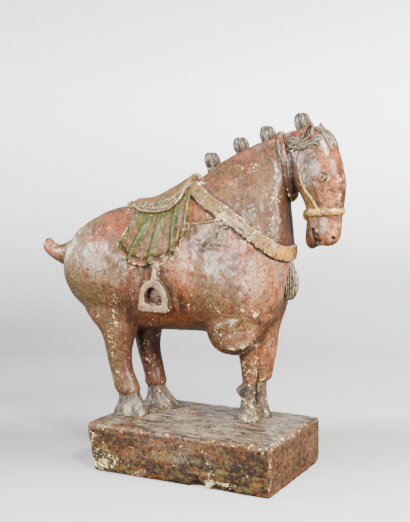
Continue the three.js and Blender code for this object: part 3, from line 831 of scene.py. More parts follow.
# Coats of colour from the ground up: colour, mark that holds it, noise, where it starts and is full, strength
COATS = (
    ("rose", None, "patches", 0.50, 0.62, 0.55),
    ("brown", None, "clouds", 0.45, 0.56, 0.8),
    ("tan", None, "wisps", 0.52, 0.60, 0.5),
    ("orange", None, "wisps", 0.46, 0.38, 0.45),
    ("dark_red", None, "strokes", 0.49, 0.57, 0.85),
    # Pale rose patches: partly the coat's own rose, partly painted highlight on the surfaces that face the
    # lights
    ("rose", "rosy", "patches", 0.42, 0.52, 0.85),
    ("tan", "tan", "strokes", 0.37, 0.51, 0.9),
    ("brown", "brown", "strokes", 0.34, 0.47, 0.92),
    ("orange", "bare", "patches", 0.40, 0.49, 0.9),
    # Grey-mauve bloom: partly the varnish's own bloom, partly painted sheen on the shoulder, barrel and rump
    ("bloom", "bloom", "wisps", 0.43, 0.56, 0.85),
    # Oxblood in the deep patches is painted shade
    ("oxblood_shade", "deep", "patches", 0.32, 0.46, 0.92),
    ("tan", None, "flecks", 0.55, 0.62, 0.55),
    ("dark_red", None, "flecks", 0.45, 0.38, 0.6),
    ("pink", "cloth", None, 0, 1, 1),
    ("brown", "cloth", "strokes", 0.46, 0.53, 0.85),
    ("tan", "cloth", "flecks", 0.55, 0.60, 0.6),
    ("green", "green", "patches", 0.34, 0.44, 0.95),
    ("moss", "green", "flecks", 0.47, 0.53, 0.85),
    ("seat", "seat", None, 0, 1, 1),
    ("moss", "seat", "patches", 0.49, 0.54, 0.75),
    ("orange", "seat", "wisps", 0.54, 0.59, 0.5),
    ("tan", "seat", "flecks", 0.54, 0.59, 0.7),
    ("strap", "strap", None, 0, 1, 1),
    ("tan", "strap", "patches", 0.50, 0.55, 0.8),
    ("orange", "strap", "clouds", 0.52, 0.58, 0.4),
    ("gilt", "warm", "patches", 0.36, 0.50, 0.8),
    ("orange", "warm", "wisps", 0.48, 0.56, 0.6),
    ("moss", "strap", "flecks", 0.54, 0.58, 0.8),
    ("gilt", "gilt", None, 0, 1, 1),
    ("brown", "gilt", "patches", 0.51, 0.56, 0.8),
    ("gesso", "gilt", "flecks", 0.55, 0.59, 0.6),
    ("hair", "hair", None, 0, 1, 1),
    ("brown", "hair", "patches", 0.52, 0.57, 0.6),
    ("ash", "hair", "flecks", 0.53, 0.59, 0.6),
    ("ash", "pale", "flecks", 0.42, 0.52, 0.7),
    ("gesso", "pale", "flecks", 0.52, 0.57, 0.4),
    ("hoof", "hoof", None, 0, 1, 1),
    ("olive", "hoof", "clouds", 0.50, 0.56, 0.7),
    ("ash", "hoof", "patches", 0.52, 0.57, 0.45),
    ("umber", "hoof", "flecks", 0.54, 0.59, 0.8),
    ("grime_and_shade", "hoof", "strokes", 0.52, 0.58, 0.8),
    ("gesso", "hoof", "wisps", 0.57, 0.62, 0.35),
    ("umber", "block", None, 0, 1, 1),
    ("olive", "block", "bands", 0.48, 0.54, 0.9),
    ("block", "block", "planks", 0.455, 0.50, 0.95),
    ("umber", "umber", "patches", 0.38, 0.48, 0.85),
    ("ash", "ash", "grain", 0.46, 0.57, 0.8),
    ("bloom", "ash", "bands", 0.50, 0.60, 0.4),
    ("umber", "rim", "patches", 0.47, 0.54, 0.8),
    ("grime_and_shade", "block", "flecks", 0.55, 0.60, 0.8),
    ("olive", "block", "flecks", 0.45, 0.40, 0.6),
    ("stone", "stone", None, 0, 1, 1),
    ("brown", "stone", "patches", 0.49, 0.55, 0.8),
    ("ash", "stone", "flecks", 0.51, 0.58, 0.7),
    ("grime_and_shade", "stone", "specks", 0.56, 0.62, 0.8),
)


# Stretched views of the pattern's space: scale and turn
STRETCHES = {
    "upright": ((1, 1, 0.22), (0, 0.2, 0)), "slanted": ((1, 1, 0.4), (0, 0.9, 0)),
    "broadly": ((0.45, 0.45, 1), (0, 0, 0)), "lengthwise": ((0.16, 1, 1), (0, 0, 0)),
}

# Clouds as wide as a palm, patches as wide as a thumb, upright brush strokes, wisps left by a cloth, flecks
# and specks of a worn brush, lumps of thick varnish, and on the block the wood's grain and wider bands along
# it. Each row has the space, the size in millimetres, the detail, the roughness and the distortion
NOISES = {
    "clouds": ("place", 36, 6, 0.66, 0.4), "patches": ("place", 15, 6, 0.7, 0.3),
    "strokes": ("upright", 5.5, 5, 0.66, 0.2), "wisps": ("slanted", 11, 6, 0.68, 0.4),
    "flecks": ("place", 5.2, 5, 0.64, 0.4), "specks": ("place", 2.6, 3, 0.7, 0.2),
    "lumps": ("place", 17, 1, 0.5, 0.3), "grain": ("lengthwise", 5, 5, 0.7, 0.2),
    "bands": ("broadly", 11, 6, 0.72, 0.3), "planks": ("broadly", 17, 6, 0.72, 0.3),
}

# Sums of noises and marks, each part with its share: dirt, which is real dirt in flecks and painted shade in
# the hollows, worn places, the fine relief and the softer swell of the varnish
SUMS = {
    "dirt": (("flecks", 1), ("hollow", 0.3)),
    "worn": (("patches", 0.6), ("flecks", 0.35), ("specks", 0.4), ("ridge", 0.12), ("loss", 0.16)),
    "relief": (("flecks", 1), ("specks", 0.4)),
    "swell": (("lumps", 1), ("flecks", 0.08)),
}

# Ranges of those: the noise or sum, where it starts and is full, what it gives there, and how it goes between
RANGES = {
    "tone": ("specks", 0.3, 0.7, 0.32, 1.1, "LINEAR"),
    "rough": ("flecks", 0.35, 0.65, 0.45, 0.7, "LINEAR"),
    # How much grime lies over the paint: dirt in flecks, and painted shade in the hollows
    "dirty": ("dirt", 0.57, 0.72, 0, 0.85, "SMOOTHSTEP"),
    "flaked": ("worn", 0.822, 0.838, 0, 0.9, "SMOOTHSTEP"),
    "around": ("worn", 0.755, 0.815, 0, 0.8, "LINEAR"),
}

# How much varnish is left, on the coat and where it has flaked, and what is duller than the coat
VARNISH = 0.85
VARNISH_ON_CHIPS = 0.15
DULLER = {"cloth": -0.55, "block": -0.7, "hoof": -0.4}

# Half the band of the flecks' noise that draws a crack, and the depth of the fine relief and of the swell
CRACK_WIDTH = 0.012
RELIEF_DEPTH = 0.002
SWELL_DEPTH = 0.0024


def painted_gesso(context):
    """Mineral paint in glue over a chalk ground on wood: matt to half-shiny from handling, mottled by brush
    and smoke, and flaked to cream gesso along the edges"""
    name = "painted_gesso_on_carved_wood"
    if name in bpy.data.materials:
        return bpy.data.materials[name]
    paint = context.scene.paint_colours
    material = bpy.data.materials.new(name)
    material.use_nodes = True
    tree = material.node_tree
    tree.nodes.clear()
    add = partial(node, tree)
    spaces = {"place": add("TexCoord").outputs["Object"]}
    for key, (scale, turn) in STRETCHES.items():
        spaces[key] = add("Mapping", {"Vector": spaces["place"], "Scale": scale, "Rotation": turn}).outputs[0]
    parts = {}
    for key, (space, size, detail, rough, distortion) in NOISES.items():
        links = {"Scale": cells(size), "Detail": detail, "Roughness": rough, "Distortion": distortion}
        parts[key] = add("TexNoise", {"Vector": spaces[space], **links}).outputs["Fac"]
    for key in sorted({row[1] for row in COATS if row[1]} | {"ridge", "hollow", "loss"}):
        parts[key] = add("Attribute", attribute_name=key).outputs["Fac"]
    for key, shares in SUMS.items():
        first, weight = shares[0]
        total = add("Math", {0: parts[first], 1: weight}, operation="MULTIPLY").outputs[0]
        for source, weight in shares[1:]:
            total = add("Math", {0: parts[source], 1: weight, 2: total}, operation="MULTIPLY_ADD").outputs[0]
        parts[key] = total
    for key, (source, low, high, start, end, between) in RANGES.items():
        links = {"Value": parts[source], "From Min": low, "From Max": high, "To Min": start, "To Max": end}
        parts[key] = add("MapRange", links, interpolation_type=between).outputs["Result"]
    surface = paint.red
    for tint, mark, noise, low, high, strength in COATS:
        share = parts.get(mark)
        if noise:
            links = {"Value": parts[noise], "From Min": low, "From Max": high, "To Max": strength}
            share = add("MapRange", links, interpolation_type="SMOOTHSTEP").outputs["Result"]
            if mark:
                share = add("Math", {0: share, 1: parts[mark]}, operation="MULTIPLY").outputs[0]
        links = {"Factor": share, 6: surface, 7: getattr(paint, tint)}
        surface = add("Mix", links, data_type="RGBA").outputs[2]
    # Pigment ground by hand is uneven in tone, and dirt lies over it, with painted shade in the hollows,
    # along the joins and in the patches of painted shadow
    surface = add("VectorMath", {0: surface, "Scale": parts["tone"]}, operation="SCALE").outputs[0]
    surface = add("Mix", {"Factor": parts["dirty"], 6: surface, 7: paint.grime_and_shade}, data_type="RGBA").outputs[2]
    # The ground shows where the paint has flaked, and in thin cracks that run out from there
    crack = add("Math", {0: parts["flecks"], 1: 0.5, 2: CRACK_WIDTH}, operation="COMPARE").outputs[0]
    crack = add("Math", {0: crack, 1: parts["around"]}, operation="MULTIPLY").outputs[0]
    chip = add("Math", {0: parts["flaked"], 1: crack}, operation="MAXIMUM").outputs[0]
    surface = add("Mix", {"Factor": chip, 6: surface, 7: paint.gesso}, data_type="RGBA").outputs[2]
    height = add("Math", {0: chip, 1: -0.5, 2: parts["relief"]}, operation="MULTIPLY_ADD").outputs[0]
    relief = add("Bump", {"Height": height, "Distance": RELIEF_DEPTH, "Strength": 0.8}).outputs["Normal"]
    # Old varnish has filled the finest relief, and is worn dull where the paint is gone
    ripple = add("Bump", {"Height": parts["swell"], "Distance": SWELL_DEPTH, "Strength": 1}).outputs["Normal"]
    links = {"Value": chip, "To Min": VARNISH, "To Max": VARNISH_ON_CHIPS}
    varnish = add("MapRange", links).outputs["Result"]
    for key, weight in DULLER.items():
        links = {0: parts[key], 1: weight, 2: varnish}
        varnish = add("Math", links, operation="MULTIPLY_ADD", use_clamp=True).outputs[0]
    shader = add("BsdfPrincipled", {
        "Base Color": surface, "Roughness": parts["rough"], "Normal": relief, "IOR": 1.5,
        "Specular IOR Level": 0.2, "Coat Weight": varnish, "Coat Roughness": 0.3, "Coat Normal": ripple,
    })
    add("OutputMaterial", {"Surface": shader.outputs["BSDF"]})
    return material


# Marks on the finished surfaces

# Broad patches of the coat: middle s and z, reach in s and z, strength, and the side if it is on one alone
PATCHES = {
    # Pale rose: partly the coat's own rose, partly painted highlight on the shoulder, barrel, face and legs
    # where they face the lights
    "rosy": [
        (-4, 224, 20, 22, 1.0), (98, 198, 26, 40, 0.9), (-130, 236, 22, 14, 0.8), (193, 368, 12, 24, 1.0),
        (196, 266, 18, 20, 1.0), (104, 96, 18, 34, 0.7), (-240, 240, 14, 16, 1.0), (196, 320, 14, 22, 0.9),
        (70, 262, 34, 14, 0.8), (129, 200, 16, 34, 0.8), (94, 88, 12, 40, 0.9, LEFT),
        (84, 126, 24, 18, 0.6),
    ],
    "tan": [
        (-182, 240, 26, 40, 1.0), (104, 326, 12, 34, 0.9), (-112, 80, 16, 54, 0.95), (56, 134, 26, 22, 1.0),
        (28, 224, 20, 18, 0.5), (78, 80, 14, 30, 0.9), (-156, 186, 30, 34, 0.8), (-150, 285, 24, 8, 0.9),
        (66, 324, 14, 20, 0.6), (-100, 220, 12, 24, 0.5), (36, 182, 26, 30, 0.8), (18, 214, 22, 20, 0.5),
    ],
    "brown": [
        (-140, 178, 40, 30, 0.6), (-120, 150, 24, 24, 0.8), (36, 170, 34, 34, 0.7), (15, 302, 20, 20, 0.7),
        (40, 358, 34, 16, 1.0), (84, 378, 34, 18, 1.0), (124, 392, 26, 18, 1.0), (116, 286, 14, 30, 1.0),
        (132, 350, 12, 60, 1.0), (-116, 80, 18, 60, 0.7, RIGHT), (152, 396, 20, 18, 0.9),
        (66, 308, 24, 12, 0.9), (163, 345, 17, 36, 0.8), (100, 296, 24, 16, 0.8), (-60, 186, 18, 32, 0.8),
        (80, 330, 44, 44, 0.5), (-116, 279, 26, 14, 0.6), (-82, 80, 30, 70, 0.9, LEFT),
    ],
    "bare": [
        (-114, 279, 20, 12, 1.0), (60, 374, 30, 8, 0.5), (110, 398, 20, 8, 0.5), (-20, 146, 40, 14, 0.7),
        (78, 256, 22, 10, 0.8), (130, 205, 12, 24, 0.5), (-4, 188, 10, 26, 0.5), (14, 300, 14, 12, 0.6),
        (100, 90, 16, 30, 0.25), (203, 350, 8, 34, 0.7), (-236, 232, 14, 10, 0.4), (150, 404, 16, 10, 0.8),
        (193, 370, 12, 16, 0.9), (80, 244, 16, 12, 0.9),
    ],
    "warm": [(142, 238, 26, 16, 1.0)],
    # Bloom: partly the varnish's own bloom, partly painted sheen where the shoulder, barrel and rump catch
    # the lights
    "bloom": [
        (-137, 222, 26, 18, 0.9), (-88, 204, 18, 18, 0.6), (96, 204, 20, 26, 0.8), (128, 204, 12, 26, 0.7),
        (30, 222, 24, 18, 0.9), (84, 108, 14, 8, 0.7), (158, 350, 10, 28, 0.6), (-40, 176, 14, 12, 1.0),
    ],
    "pale": [(-38, 177, 9, 9, 1.0)],
    # Painted shadow, most of it: beside each stirrup and its leather, in the gap by the throat strap, under
    # the elbows and about the cheek, and a darker spot on the pommel
    "soot": [
        (-7, 170, 5, 17, 1.1), (-31, 213, 4, 9, 1.0), (2, 354, 6, 4, 0.7), (138, 350, 3, 50, 0.8),
        (80, 106, 10, 4, 0.8), (168, 360, 8, 12, 0.5), (152, 372, 16, 6, 0.5), (156, 350, 12, 26, 0.6),
        (66, 100, 14, 4, 1.1), (84, 107, 8, 5, 1.3), (95, 116, 6, 6, 1.3),
    ],
    # Deep: painted shade in oxblood under the throat, jaw, belly and elbows, in the creases by the haunch and
    # down the legs
    "deep": [
        (132, 278, 12, 44, 1.0), (30, 128, 80, 14, 0.7), (-88, 166, 14, 32, 0.6), (66, 112, 24, 12, 0.6),
        (-90, 130, 16, 30, 0.7), (76, 78, 16, 36, 1.0, RIGHT), (-82, 80, 30, 70, 1.3, LEFT),
        (174, 250, 8, 14, 0.9), (150, 376, 14, 22, 0.7), (136, 345, 11, 60, 1.0),
        (-96, 80, 12, 54, 1.1, RIGHT), (80, 104, 20, 8, 0.9), (46, 120, 24, 16, 0.6),
    ],
    "loss": [
        (-107, 172, 4, 10, 0.9), (-108, 148, 6, 24, 0.55), (72, 140, 26, 8, 0.5), (74, 112, 16, 7, 0.45),
        (96, 156, 5, 6, 1.0), (52, 288, 13, 9, 1.1), (12, 336, 6, 5, 0.9), (90, 80, 14, 26, 0.3),
        (90, 84, 9, 40, 0.6, LEFT), (-118, 90, 9, 60, 0.45, RIGHT), (205, 330, 6, 50, 0.5),
        (84, 10, 14, 10, 0.4), (-206, 234, 20, 30, 0.3), (108, 318, 8, 32, 0.5), (60, 340, 26, 30, 0.2),
        (98, 70, 10, 30, 0.5, LEFT), (-160, 270, 30, 12, 0.4), (120, 300, 10, 40, 0.4),
        (-180, 150, 20, 14, 0.5), (92, 24, 16, 14, 0.3), (70, 262, 30, 10, 0.4), (60, 160, 40, 10, 0.3),
        (48, 132, 10, 18, 0.4),
    ],
}

# Spots on the block: where it is darkest, where the ground shows, where it is rusty and where it is pale.
# Each has its middle, reach and strength, in the block's frame
BLOCK_MARKS = {
    "soot": [
        (95, -92, 24, 40, 8, 16, 0.55), (16, -92, 14, 44, 8, 10, 0.5), (-80, -92, 42, 22, 8, 18, 0.4),
        (40, -92, 44, 26, 8, 8, 0.4), (141, 0, 18, 6, 60, 14, 0.4),
    ],
    "loss": [
        (-108, -92, 18, 22, 12, 18, 1.0), (-124, -92, 30, 10, 8, 12, 0.8), (-56, -92, 8, 12, 8, 6, 0.9),
        (66, -92, 10, 26, 8, 7, 1.0), (54, -92, 24, 7, 6, 5, 0.9), (138, -60, 66, 6, 60, 6, 0.7),
        (128, -92, 60, 12, 6, 12, 0.6), (-128, -92, 52, 8, 6, 12, 0.6), (20, -92, 40, 60, 6, 10, 0.35),
        (100, -92, 26, 12, 6, 10, 0.4), (141, -90, 30, 6, 6, 40, 0.4), (141, 88, 40, 6, 6, 40, 0.5),
        (0, -92, 66, 140, 5, 4, 0.35),
    ],
    "umber": [(-60, -92, 40, 60, 6, 20, 0.6), (60, -92, 50, 70, 6, 9, 0.7)],
    "ash": [(0, -92, 40, 60, 8, 22, 0.35)],
}


def blots(points, rows):
    """Soft spots by middle and reach along each axis"""
    total = np.zeros(len(points))
    for x, y, z, rx, ry, rz, strength in rows:
        gap = ((points[:, 0] - x) / rx) ** 2 + ((points[:, 1] - y) / ry) ** 2 + ((points[:, 2] - z) / rz) ** 2
        total = np.maximum(total, strength * np.exp(-gap))
    return total


def on_side(own, sides):
    """How much each point belongs to some of the horse's two sides"""
    return eased(np.max([own[:, 1] * side for side in sides], axis=0) / 16 + 0.25)


def coat_patches(own, name):
    """How much of a broad patch lies at each point of the horse"""
    total = np.zeros(len(own))
    for s, z, rs, rz, strength, *side in PATCHES[name]:
        share = np.exp(-(((own[:, 0] - s) / rs) ** 2) - ((own[:, 2] - z) / rz) ** 2)
        total = np.maximum(total, strength * share * on_side(own, side or BOTH))
    return total


def edge_marks(points, net, normal, fine_mm, broad_mm):
    """Ridges and hollows of a surface, by how far each point stands out from its neighbours"""
    fine = ((points - net.smooth(points, 3)) * normal).sum(1) * MM
    broad = ((points - net.smooth(points, 16)) * normal).sum(1) * MM
    ridge = np.clip(fine / fine_mm, 0, 1) * 0.5 + np.clip(broad / broad_mm, 0, 1) * 0.5
    hollow = np.clip(-fine / fine_mm, 0, 1) * 0.5 + np.clip(-broad / broad_mm, 0, 1) * 0.5
    return net.smooth(ridge, 1), net.smooth(hollow, 1)


def fine_piece(name, form, context, values, fine_mm=0.1, broad_mm=0.5):
    """A piece that keeps finer cuts than the horse itself, with its finish and the marks of its own relief"""
    made = object_of(name, on_block(form.points, context), form.faces)
    recalculated(made)
    mesh = made.data
    points, net = points_of(mesh), Net(mesh)
    marks = {FINISHES[i]: (form.finish == i).astype(float) for i in np.unique(form.finish)}
    # Hollows of each piece take the grime colour: dirt, and painted shade in the creases
    marks["ridge"], marks["hollow"] = edge_marks(points, net, out_of(mesh), fine_mm, broad_mm)
    marks["ridge"] = marks["ridge"] * (1 - 0.7 * marks.get("hair", 0) - 0.2 * marks.get("cloth", 0))
    for key, numbers in values.items():
        marks[key] = np.maximum(marks.get(key, 0), numbers)
    write_values(mesh, marks)
    finish_piece(made, context)


# Operators


class CarveBlock(bpy.types.Operator):
    """The oblong block: level underside, worn edges, leaning tail end, top swelling up to the hooves"""

    bl_idname = "tomb_horse.carve_block"
    bl_label = "Carve block"

    def execute(self, context):
        sizes = context.scene.block_sizes
        long, wide, high, wear = in_mm(sizes, "length", "width", "height", "wear")
        undercut, swell = in_mm(sizes, "undercut", "swell")
        place = np.linspace(0, 1, 90)[:, None]
        y = wide / 2 * power_of(np.cos(turns(240)), 2 / BLOCK_SQUARENESS)
        z = high / 2 + high / 2 * power_of(np.sin(turns(240)), 2 / BLOCK_SQUARENESS)
        x = (place - 0.5) * long + undercut * (1 - place) ** 4 * (1 - z / high)
        rise = sum(swell * share * bump(x, s, rs) * bump(y, t, rt) for s, rs, t, rt, share in SWELLS)
        end = np.maximum(bump(place, 0, 0.007), bump(place, 1, 0.007)) * wear
        z = high / 2 + (z - high / 2) * (1 - end / high * 2) + rise * eased((z - high * 0.9) / (high * 0.1))
        form = closed(xyz(x, y * (1 - end / wide * 2), z))
        made = object_of("carved_block", form.points / MM, form.faces)
        chips = joined([ball(*row) for row in CHIPS])
        cut_out(made, chips.points / MM, chips.faces)
        remeshed(made, BLOCK_CELL)
        self.work_surface(made.data, high)
        thinned(made, context.scene.surface_sizes.block_triangles)
        finish_piece(made, context)
        return {"FINISHED"}

    def work_surface(self, mesh, high):
        """Wears the edges, leaves the grain and the lifted paint in the surface, and marks it"""
        points, net = points_of(mesh), Net(mesh)
        points = net.smooth(points, 3)
        own = points * MM
        set_points(mesh, points)
        normal = out_of(mesh)
        upper = eased((own[:, 2] - high * 0.9) / 4)
        grain = lattice_noise(own * (0.14, 1, 1), 3.4, 3)
        pits = np.minimum(lattice_noise(own, 7, 5) + 0.35, 0)
        edge = ((net.smooth(points, 24) - points) * normal).sum(1) * MM
        lift = 0.32 * grain * (0.4 + 0.6 * upper) + 0.5 * lattice_noise(own, 13, 4)
        lift += 0.8 * lattice_noise(own, 34, 6)
        lift += 0.9 * pits * (1 - upper) + np.minimum(edge, 0) * 0.8 * (0.6 + lattice_noise(own, 9, 7))
        lift = np.minimum(lift, 0.6) * eased(own[:, 2] / 3)
        points = points + normal * lift[:, None] / MM
        points[:, 2] = np.maximum(points[:, 2], 0)
        set_points(mesh, points)
        ridge, hollow = edge_marks(points, net, out_of(mesh), 0.14, 0.6)
        face_end = eased((own[:, 0] - 137) / 3)
        write_values(mesh, {
            "block": np.ones(len(points)),
            "ridge": ridge * 0.2,
            "rim": eased(net.smooth(ridge, 8) * 2.4),
            # The hollows and the darkest spots take the grime colour, as dirt and painted shade
            "hollow": np.maximum(hollow * 0.8, blots(own, BLOCK_MARKS["soot"])),
            "loss": blots(own, BLOCK_MARKS["loss"]),
            "umber": np.clip(face_end * 0.9 + blots(own, BLOCK_MARKS["umber"]), 0, 1),
            "ash": np.clip(upper + blots(own, BLOCK_MARKS["ash"]) + face_end * 0.3, 0, 1),
        })


class CarveBody(bpy.types.Operator):
    """Trunk and neck, head, legs and tail"""

    bl_idname = "tomb_horse.carve_body"
    bl_label = "Carve body"

    def execute(self, context):
        parts = [closed(skin(TRUNK, 12, 220)), closed(skin(TAIL, 10, 64))]
        for leg, cuff in CUFFS:
            rings = skin(leg, 12, 90)
            parts.append(closed(rings, np.where(rings[..., 2] < cuff, FINISHES.index("hoof"), 0)))
        for side in BOTH:
            parts.append(closed(skin(SHOULDER, 10, 100) * (1, side, 1)))
        parts.append(with_head(joined([closed(skin(HEAD, 12, 120)), ball(*JAW)]), context))
        set_aside("form_body", joined(parts), context)
        return {"FINISHED"}


def strap_patch(line, width, rise, finish):
    """A strap along a line, with a carved line inside each edge"""
    half = width / 2
    smooth_line = curve_through(line, 8) if len(line) > 2 else np.asarray(line, float)

    def height(depth):
        lines = 0.9 * bump(depth, half * 0.45, 0.9) if width > 6 else 0
        return rise * eased(depth / 1.0 + 0.5) + 0.6 * eased(depth / half) - lines

    return (lambda s, z: half - line_distance(s, z, smooth_line), height, finish)


class CarveHarness(bpy.types.Operator):
    """Breast strap, throat strap, cord, noseband, cheek straps and the ring under the jaw"""

    bl_idname = "tomb_horse.carve_harness"
    bl_label = "Carve harness"

    def execute(self, context):
        tack = context.scene.tack_sizes
        rise, breast, collar, cord = in_mm(tack, "strap_rise", "breast_strap", "collar", "cord")
        line, noseband = in_mm(tack, "cheek_strap", "noseband")
        on_trunk = raised(TRUNK, 14, 340, [
            strap_patch(BREAST_STRAP, breast, rise, "strap"),
            strap_patch(COLLAR, collar, rise, "coat"),
            strap_patch(CORD, cord, CORD_RISE, "seat"),
        ])
        cheek = loop_through(CHEEK_STRAP, 6)
        on_head = raised(HEAD, 16, 170, [
            (lambda s, z: outline_depth(s, z, cheek), lambda depth: CHEEK_RISE * eased(depth / 2), "strap"),
            strap_patch(CHEEK_LINE, line, rise * 0.5, "gilt"),
            strap_patch(NOSEBAND, noseband, rise * 0.55, "gilt"),
        ])
        head = with_head(joined([on_head, ball(*JAW_RING, "gilt")]), context)
        set_aside("form_harness", joined([on_trunk, head]), context)
        return {"FINISHED"}


class CarveSeat(bpy.types.Operator):
    """The saddle's seat on its moulded band"""

    bl_idname = "tomb_horse.carve_seat"
    bl_label = "Carve seat"

    def execute(self, context):
        band_line, cushion_line = loop_through(SEAT, 6), loop_through(CUSHION, 6)
        band, cushion = in_mm(context.scene.tack_sizes, "band_rise", "seat_rise")

        def band_height(depth):
            ridges = 1.9 * bump(depth, 2.2, 1.5) + 1.7 * bump(depth, 6.6, 1.3)
            return band * eased(depth / 1.4 + 0.5) + (ridges - 2.4 * bump(depth, 4.4, 1.1))

        def cushion_height(depth):
            return band + (cushion - band) * eased(depth / 2.4 + 0.3) ** 0.6 + 0.6 * bump(depth, 3, 1.5)

        patches = [
            (lambda s, z: outline_depth(s, z, band_line), band_height, "seat"),
            (lambda s, z: outline_depth(s, z, cushion_line), cushion_height, "seat"),
        ]
        set_aside("form_seat", raised(TRUNK, 16, 380, patches), context)
        return {"FINISHED"}


class JoinHorse(bpy.types.Operator):
    """Joins body, harness and seat into one carving, cuts its nostrils and mouth, and works its surface"""

    bl_idname = "tomb_horse.join_horse"
    bl_label = "Join horse"

    def execute(self, context):
        surface = context.scene.surface_sizes
        forms = {made.name: made for made in forms_collection().objects}
        for name in ("form_body", "form_seat", "form_harness"):
            if name not in forms:
                raise RuntimeError(f"{name} has to be carved before the horse is joined")
        tree = tree_of(np.vstack([points_of(made.data) for made in forms.values()]))
        finish = np.concatenate([read_values(made.data, "finish") for made in forms.values()])
        self.blend_limbs(forms["form_body"], context)
        whole = joined([Form(points_of(made.data), faces_of(made.data)) for made in forms.values()])
        for made in forms.values():
            bpy.data.objects.remove(made)
        carving = object_of("carved_horse", whole.points, whole.faces)
        remeshed(carving, surface.cut)
        mesh = carving.data
        points, net = points_of(mesh), Net(mesh)
        own = off_block(points, context)
        finish = np.rint(finish).astype(int)[np.array([tree.find(point)[1] for point in points])]
        points = net.smooth(points, 1)
        set_points(mesh, points)
        points = points + out_of(mesh) * self.worked(own, finish, surface)[:, None] / MM
        set_points(mesh, points)
        write_values(mesh, self.marks(points, own, finish, net, out_of(mesh)))
        thinned(carving, surface.horse_triangles)
        without_specks(carving.data)
        finish_piece(carving, context)
        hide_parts(NODE)
        return {"FINISHED"}

    def blend_limbs(self, body, context):
        """Smooths the body where its limbs meet, clear of hooves and head, and cuts nostrils and mouth"""
        remeshed(body, BODY_CELL)
        points = points_of(body.data)
        z = off_block(points, context)[:, 2]
        weight = 0.6 * eased((z - 60) / 30) * eased((300 - z) / 20)
        set_points(body.data, Net(body.data).smooth(points, 10, weight))
        horse = context.scene.horse_sizes
        x, y, z = NOSTRIL
        hole, deep = horse.nostril_width * MM / 2, horse.mouth_depth * MM
        parts = []
        for side in BOTH:
            parts.append(ball(x, side * y, z, hole, hole * 2.4, hole))
            parts.append(through(loop_through(LIPS, 6), *sorted((side * (MOUTH_HALF - deep), side * 30))))
        tool = with_head(joined(parts), context)
        cut_out(body, on_block(tool.points, context), tool.faces)

    def worked(self, own, finish, surface):
        """Hand-carved unevenness, muscle folds, and the undercuts along the straps, in millimetres"""
        coat = finish == 0
        s, z = own[:, 0], own[:, 2]
        scraped = lattice_noise(own * (1, 1, 0.22), 5, 8)
        lift = 0.5 * lattice_noise(own, 24, 1) + 0.4 * lattice_noise(own, 9, 2)
        lift += 0.3 * lattice_noise(own, 5, 9)
        lift = surface.modelling * MM * (lift + np.where(coat, 0.22, 0) * scraped)
        for line, reach, height, *side in FOLDS:
            fold = height * bump(line_distance(s, z, curve_through(line, 6)), 0, reach)
            lift += np.where(coat | (finish == FINISHES.index("hoof")), fold * on_side(own, side or BOTH), 0)
        gap = line_distance(s, z, curve_through(BREAST_STRAP, 8)) - 10
        near = coat & (s < 145) & (s > 0) & (z < 340)
        below = z < np.interp(s, *np.array(BREAST_STRAP).T)
        lift -= np.where(near, np.where(below, 1.6, 0.5) * bump(gap, 1.3, 1.6), 0)
        gap = line_distance(s, z, curve_through(COLLAR, 8)) - 5.5
        near = coat & (s < 155) & (s > 110) & (z > 290)
        return lift - np.where(near, np.where(s > HEAD_PIVOT, 1.6, 0.5) * bump(gap, 1.5, 2.0), 0)

    def marks(self, points, own, finish, net, normal):
        """Where each finish, patch, ridge and hollow lies"""
        values = {}
        for i, name in enumerate(FINISHES):
            if name not in ("cloth", "block", "stone"):
                values[name] = net.smooth((finish == i).astype(float), 1)
        # Hollows take the grime colour: dirt, and painted shade in the creases
        values["ridge"], values["hollow"] = edge_marks(points, net, normal, 0.2, 0.9)
        for name in PATCHES:
            values[name] = coat_patches(own, name)
        values["warm"] *= values["strap"]
        # The patches of painted shadow darken with the hollows
        values["hollow"] = np.maximum(values["hollow"], values.pop("soot"))
        seat = finish == FINISHES.index("seat")
        values["green"] = net.smooth(np.where(seat, np.clip(values["ridge"] * 1.6, 0, 1), 0), 1)
        return values


def cloth_panel(side, tack):
    """Half the saddle-cloth: hollow flutes and narrow ridges that fan out from the seat to a rolled hem"""
    rise, depth, scallop, roll = in_mm(tack, "cloth_rise", "flute_depth", "scallop", "hem")
    top, hem = curve_through(CLOTH_TOP, 56), curve_through(CLOTH_HEM, 56)
    phase = np.linspace(0, 1, len(top)) * tack.flutes
    away = np.abs(phase - np.round(phase))
    belly = np.abs(np.sin(np.pi * phase)) ** 0.7
    drop = hem - top
    hem = hem + drop / np.linalg.norm(drop, axis=1, keepdims=True) * (scallop * (belly - 0.35))[:, None]
    down = np.concatenate([np.linspace(0, 0.9, 60), np.linspace(0.905, 1, 24)])
    outer, inner, ridges, crusts = [], [], [], []
    for start, end, q, fold in zip(top, hem, away, belly):
        x = start[0] + (end[0] - start[0]) * down
        z = start[1] + (end[1] - start[1]) * down
        coat = flank(x, z)
        ridge = bump(q, 0, 0.2) + 0.12 * bump(q, 0.36, 0.07)
        lift = rise + depth * (ridge - 0.5 * fold) * (0.4 + 0.6 * eased(down * 1.6)) + 1.2 * down
        lip = roll * bump(down, 0.94, 0.04) * (0.25 + 0.75 * fold)
        curl = 3.4 * bump(down, 0.85, 0.035) * fold
        edge = np.sqrt(np.clip(1 - np.clip((down - 0.965) / 0.035, 0, 1) ** 2, 0, 1))
        outer.append(xyz(x, side * (coat + (lift + lip - curl) * (0.25 + 0.75 * edge)), z))
        inner.append(xyz(x, side * (coat - 5), z))
        ridges.append(np.clip(bump(q, 0, 0.24) * (1.2 - 0.3 * down) + 0.6 * (1 - down) ** 2, 0, 1))
        crusts.append(bump(down, 0.96, 0.05) * (0.35 + 0.5 * fold))
    form = slab(np.array(outer), np.array(inner), "cloth")
    return form, np.tile(np.concatenate(ridges), 2), np.tile(np.concatenate(crusts), 2)


